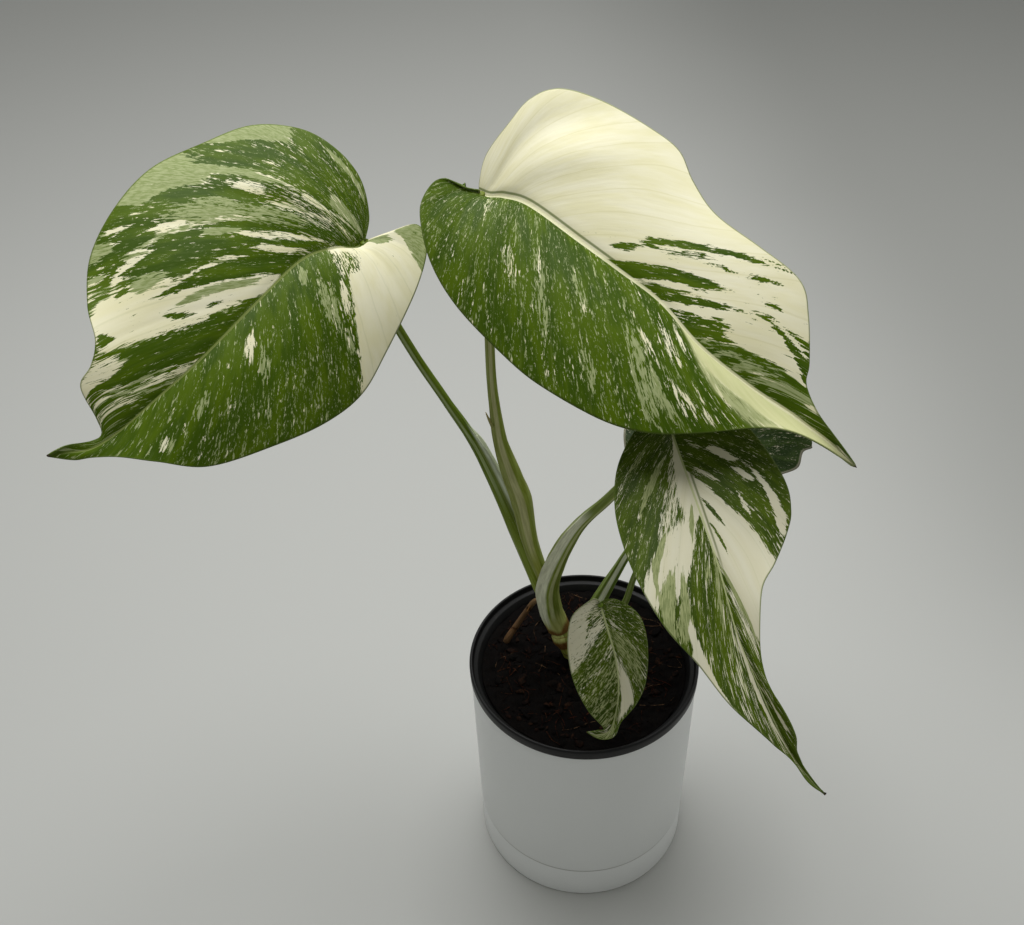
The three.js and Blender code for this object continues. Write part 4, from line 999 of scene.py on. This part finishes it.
petioles = {
    "petiole_left": [{
        "inward": (1, 0.1, 0.3),
        "route": [(-19, 14, 172, 3.8, 0.5), (-24, 16, 187, 4.2, 2), (-34, 21, 219, 4.2, 3),
                  (-44, 24, 250, 3.3, 3), (-51, 26, 269, 2.8, 2.6), (-56, 26, 281, 2.5, 0.6),
                  (-65, 26, 300, 2.2, 0), (-78, 26, 328, 2.1, 0), (-89, 25, 358, 2, 0), (-94, 23, 389, 2, 0)],
        "tint": [(0, (136, 144, 84)), (0.12, (106, 118, 54)), (0.4, (74, 90, 28)), (1, (80, 94, 34))],
        "stripes": [(-95, 16, 0.3, 1, (125, 136, 96)), (-60, 12, 0.05, 0.5, (104, 114, 66)),
                    (-30, 20, 0.03, 0.56, (170, 176, 158)), (30, 26, 0.03, 0.56, (160, 166, 144))],
    }, {
        "inward": (1, 0.1, 0.3),
        "route": [(-47.6, 24.5, 266, 0.9, 0), (-50.2, 25, 274, 0.7, 0), (-51.4, 25, 279, 0.25, 0)],
        "tint": [(0, (170, 176, 158)), (1, (196, 198, 180))],
    }],
    "petiole_top": [{
        "inward": (-1, 0, 0.2),
        "route": [(-17, 13, 170, 3.2, 0), (-21, 15, 189, 3.8, 0), (-27, 17, 213, 4.2, 0.5),
                  (-31, 19, 241, 5.4, 1), (-35, 20, 257, 4.6, 1.4), (-40, 20, 279, 3.2, 1.2),
                  (-42, 20, 299, 2.6, 0.8), (-43, 20, 318, 2.3, 0), (-43, 18, 360, 2.1, 0),
                  (-44, 11, 416, 2.1, 0)],
        "tint": [(0, (150, 152, 88)), (0.2, (124, 130, 70)), (0.45, (112, 118, 64)), (1, (98, 108, 52))],
        "stripes": [(92, 22, 0.2, 0.95, (146, 146, 108)), (140, 26, 0.1, 0.8, (104, 114, 52)),
                    (50, 18, 0.1, 0.9, (116, 122, 72)), (15, 16, 0.1, 0.6, (140, 144, 104))],
    }, {
        "inward": (-1, 0, 0.2),
        "route": [(-43.6, 17.6, 290, 0.8, 0), (-45.2, 17.4, 295, 0.6, 0), (-46.4, 17.4, 299, 0.2, 0)],
        "tint": [(0, (112, 116, 72)), (1, (140, 126, 84))],
    }],
    "petiole_lower": [{
        "inward": (-0.8, 0.3, 0.5),
        "route": [(-13, 10, 155, 6.2, 0), (-17, 9, 172, 5.8, 1), (-18, 7, 190, 5.2, 2.5),
                  (-15, 3, 209, 4.6, 3), (-9, -2, 231, 3.6, 2), (-2, -8, 251, 2.8, 0.6),
                  (9, -18, 275, 2.4, 0), (20, -31, 305, 2.1, 0), (29, -45, 340, 2, 0)],
        "tint": [(0, (148, 150, 96)), (0.15, (122, 128, 76)), (0.45, (98, 108, 56)), (1, (84, 98, 42))],
        "stripes": [(55, 40, 0.06, 0.66, (174, 176, 154)), (0, 30, 0.08, 0.6, (154, 157, 126)),
                    (104, 8, 0.1, 0.9, (100, 112, 50)), (122, 11, 0.1, 0.9, (140, 144, 106)),
                    (152, 20, 0.12, 0.9, (88, 98, 44))],
        "bands": [(0.0, 0.035, (98, 74, 44))],
    }],
    "petiole_back": [{
        "inward": (-0.6, 0.2, 0.7),
        "route": [(-6, 9, 138, 4.4, 0.5), (1, 10, 156, 4, 1.5), (9, 10, 175, 3.5, 1.5),
                  (17, 10, 196, 2.6, 0.8), (26, 9, 219, 2, 0), (41, 6, 249, 1.8, 0), (54, 1, 268, 1.8, 0),
                  (62, -3, 281, 1.8, 0)],
        "tint": [(0, (110, 120, 68)), (0.3, (84, 98, 44)), (1, (84, 98, 44))],
        "stripes": [(80, 24, 0.04, 0.7, (172, 176, 156)), (130, 18, 0.04, 1, (66, 82, 30))],
    }],
    "petiole_inner": [{
        "inward": (-0.3, 0.2, 0.9),
        "route": [(8, 19, 122, 2.2, 0), (13, 19, 138, 2.1, 0), (23, 17, 164, 1.8, 0), (28, 17, 187, 1.6, 0),
                  (36, 17, 206, 1.5, 0), (45, 17, 219, 1.5, 0)],
        "tint": [(0, (90, 98, 56)), (1, (84, 102, 44))],
        "stripes": [(90, 20, 0.1, 0.9, (120, 130, 84))],
    }],
    "petiole_front": [{
        "inward": (0, 0.6, 0.8),
        "route": [(6, 15, 122, 2, 0), (7, 8, 143, 1.9, 0), (7, 0, 165, 1.7, 0), (7, -9, 186, 1.6, 0),
                  (6, -21, 206, 1.5, 0)],
        "tint": [(0, (98, 104, 60)), (1, (84, 102, 44))],
    }],
}

petioleFinish = stalkFinish("petiole_striped", 0.42)
for name, tubes in petioles.items():
    stalkBody(name, tubes, petioleFinish)

stemTubes = [{
    "inward": (-1, 0, 0),
    "route": [(-3, 11, 112, 5.2, 0), (-4, 10, 128, 5.4, 0), (-8, 8, 142, 5, 0), (-11, 8, 149, 6, 0),
              (-12, 9, 153, 5.2, 0), (-16, 11, 164, 4.4, 0), (-19, 12, 172, 3.4, 0)],
    "tint": [(0, (104, 106, 52)), (0.35, (124, 128, 64)), (0.58, (156, 158, 102)), (1, (140, 146, 88))],
    "bands": [(0.46, 0.075, (86, 62, 34)), (0.62, 0.015, (104, 88, 52)), (0.3, 0.012, (84, 76, 44))],
    "stripes": [(120, 16, 0.5, 1, (112, 120, 66))],
}, {
    "inward": (0, 0, 1),
    "route": [(-7, 5, 148, 1.6, 0), (-4.5, 3, 154, 1.3, 0), (-2.5, 2, 159, 0.9, 0), (-1, 2, 163, 0.4, 0)],
    "tint": [(0, (120, 104, 70)), (0.5, (168, 148, 110)), (1, (140, 116, 80))],
}]
stalkBody("stem", stemTubes, stalkFinish("stem_pale", 0.55))

rootTubes = [{
    "inward": (0, 0, 1),
    "route": [(-22, 17, 170, 1.3, 0), (-26, 21, 163, 1.5, 0), (-31, 22, 153, 1.5, 0), (-36, 21, 144, 1.7, 0),
              (-41, 19, 136, 1.9, 0), (-43, 20, 127, 1.5, 0)],
    "tint": [(0, (98, 80, 58)), (0.4, (80, 62, 45)), (0.8, (84, 64, 46)), (1, (52, 42, 32))],
    "bands": [(0.3, 0.02, (48, 32, 18)), (0.62, 0.015, (52, 34, 20))],
}, {
    "inward": (0, 0, 1),
    "route": [(-26, 21, 163, 0.35, 0), (-28.5, 19.5, 160.5, 0.3, 0), (-30, 17.5, 159.5, 0.15, 0)],
    "tint": [(0, (70, 48, 28)), (1, (96, 70, 44))],
}]
stalkBody("aerial_root", rootTubes, stalkFinish("root_brown", 0.8))
print("stalks made")

# Soil: one closed bed with fine relief, then bark chips, coir fibres and thread roots lying on it
soil = {
    "top": 133, "low": 14.3, "topRadius": 55.4, "lowRadius": 43.0,
    "sides": 240, "topRows": 110, "wallRows": 12,
    "bedTone": (12, 8, 6), "dampTone": (4, 3, 3), "dryTone": (8, 6, 5), "seed": 41,
    "chips": 190, "chipReach": 52, "chipSize": (1.0, 3.2), "chipSplits": 2, "chipRough": 0.35,
    "chipTones": [(20, 12, 8), (34, 19, 12), (12, 8, 6), (46, 28, 17), (9, 6, 5)],
    "fibreReach": 50, "wallReach": 54.5, "fibreSteps": 4, "fibreSides": 5, "fibreRings": 3,
    "fibres": 240, "fibreTones": [(58, 28, 16), (40, 20, 12), (76, 36, 20), (26, 14, 10), (86, 50, 30)],
    "threads": 16, "threadTones": [(128, 100, 72), (110, 84, 60)],
}


def soilFinish():
    f = Finish("soil_dark")
    place = f.place()
    crumb = f.grain(place, 420.0, 5.0, 0.7)
    ground = f.mix(f.grain(place, 45.0), tone(*soil["dampTone"]), tone(*soil["dryTone"]))
    f.give(Base_Color=f.mix(f.step(crumb, 0.4, 0.65), ground, f.attribute("tint", "Color")),
           Roughness=0.7 + 0.3 * crumb, Specular_IOR_Level=0.08, Normal=f.bump(crumb, 0.0008, 0.8))
    return f


def soilHeight(x, y):
    broad = math.sin(0.16 * x + 0.7) * math.cos(0.14 * y - 0.4)
    small = math.sin(0.47 * x - 0.21 * y) * math.cos(0.41 * y + 0.17 * x)
    clods = noise.fractal(Vector((x * 0.16, y * 0.16, 3.0)), 0.7, 2.2, 5)
    return soil["top"] + 0.9 * (broad + 0.7 * small) + 1.3 * clods


def soilBed(bm):
    tintLayer = bm.verts.layers.float_color["tint"]
    topRows, wallRows = soil["topRows"], soil["wallRows"]
    rows = topRows + 2 * wallRows
    verts, column, row = gridOf(bm, soil["sides"], rows)
    for vert, spoke, ring in zip(verts, column, row):
        angle = 2 * math.pi * spoke / soil["sides"]
        down = (ring - topRows) / wallRows  # 0 at the top's rim, 1 at the foot, 2 at the foot's middle
        if ring <= topRows:
            radius = soil["topRadius"] * ring / topRows
        elif down <= 1:
            radius = soil["topRadius"] + (soil["lowRadius"] - soil["topRadius"]) * down
        else:
            radius = soil["lowRadius"] * (2 - down)
        x = radius * math.cos(angle)
        y = radius * math.sin(angle)
        wall = soil["top"] - 1 + (soil["low"] - soil["top"] + 1) * min(1, down)
        vert.co = (x * mm, y * mm, (soilHeight(x, y) if ring <= topRows else wall) * mm)
        vert[tintLayer] = tone(*soil["bedTone"])


def soilSpot(dice, reach):
    radius = reach * math.sqrt(dice.random())
    angle = dice.uniform(0, 2 * math.pi)
    return radius * math.cos(angle), radius * math.sin(angle)


def soilChip(bm, dice):
    tintLayer = bm.verts.layers.float_color["tint"]
    x, y = soilSpot(dice, soil["chipReach"])
    size = dice.uniform(*soil["chipSize"])
    heading = Matrix.Rotation(dice.uniform(0, math.pi), 4, "Z")
    turn = heading @ Matrix.Rotation(dice.uniform(-0.5, 0.5), 4, "X")
    spread = Matrix.Diagonal((size * dice.uniform(0.8, 1.6), size * dice.uniform(0.4, 0.8), size * 0.35, 1))
    place = Matrix.Translation((x, y, soilHeight(x, y) + 0.2))
    made = bmesh.ops.create_icosphere(bm, subdivisions=soil["chipSplits"], radius=1.0,
                                      matrix=place @ turn @ spread)
    shade = dice.choice(soil["chipTones"])
    for vert in made["verts"]:
        vert.co += noise.noise_vector(vert.co * 0.9) * soil["chipRough"] * size
        vert.co *= mm
        vert[tintLayer] = tone(*shade)
    return {face for vert in made["verts"] for face in vert.link_faces}


def soilFibre(bm, dice, length, thickness, shades):
    x, y = soilSpot(dice, soil["fibreReach"])
    heading = dice.uniform(0, 2 * math.pi)
    bend = dice.uniform(-1.6, 1.6)
    hop = dice.uniform(0.2, 1.3)
    steps = soil["fibreSteps"]
    hopLength = length / steps
    route = []
    for k in range(steps + 1):
        lift = 0.25 + hop * math.sin(math.pi * k / steps)
        route.append((x, y, soilHeight(x, y) + lift, thickness * (1 - 0.6 * k / steps), 0))
        heading += bend / steps
        stride = hopLength
        if math.hypot(x + stride * math.cos(heading), y + stride * math.sin(heading)) > soil["wallReach"]:
            heading += math.pi / 2  # turns along the wall instead of passing it
            stride = hopLength / 2
        x += stride * math.cos(heading)
        y += stride * math.sin(heading)
    if math.hypot(*route[-1][:2]) > soil["wallReach"]:
        return
    shade = dice.choice(shades)
    fibre = {"inward": (0.1, 0.1, 1), "route": route, "tint": [(0, shade), (1, shade)]}
    stalkTube(bm, fibre, soil["fibreSides"], soil["fibreRings"])


noise.seed_set(soil["seed"])
dice = random.Random(soil["seed"])
bm = tintedMesh()
soilBed(bm)
weld(bm)
chipFaces = set()
for k in range(soil["chips"]):
    chipFaces |= soilChip(bm, dice)
for k in range(soil["fibres"]):
    soilFibre(bm, dice, dice.uniform(4, 15), dice.uniform(0.13, 0.26), soil["fibreTones"])
for k in range(soil["threads"]):
    soilFibre(bm, dice, dice.uniform(14, 30), 0.2, soil["threadTones"])
weld(bm, 1e-6)
bmesh.ops.recalc_face_normals(bm, faces=[face for face in bm.faces if face not in chipFaces])
finished("soil_bed", bm, [soilFinish()], "soil")
print("soil made")
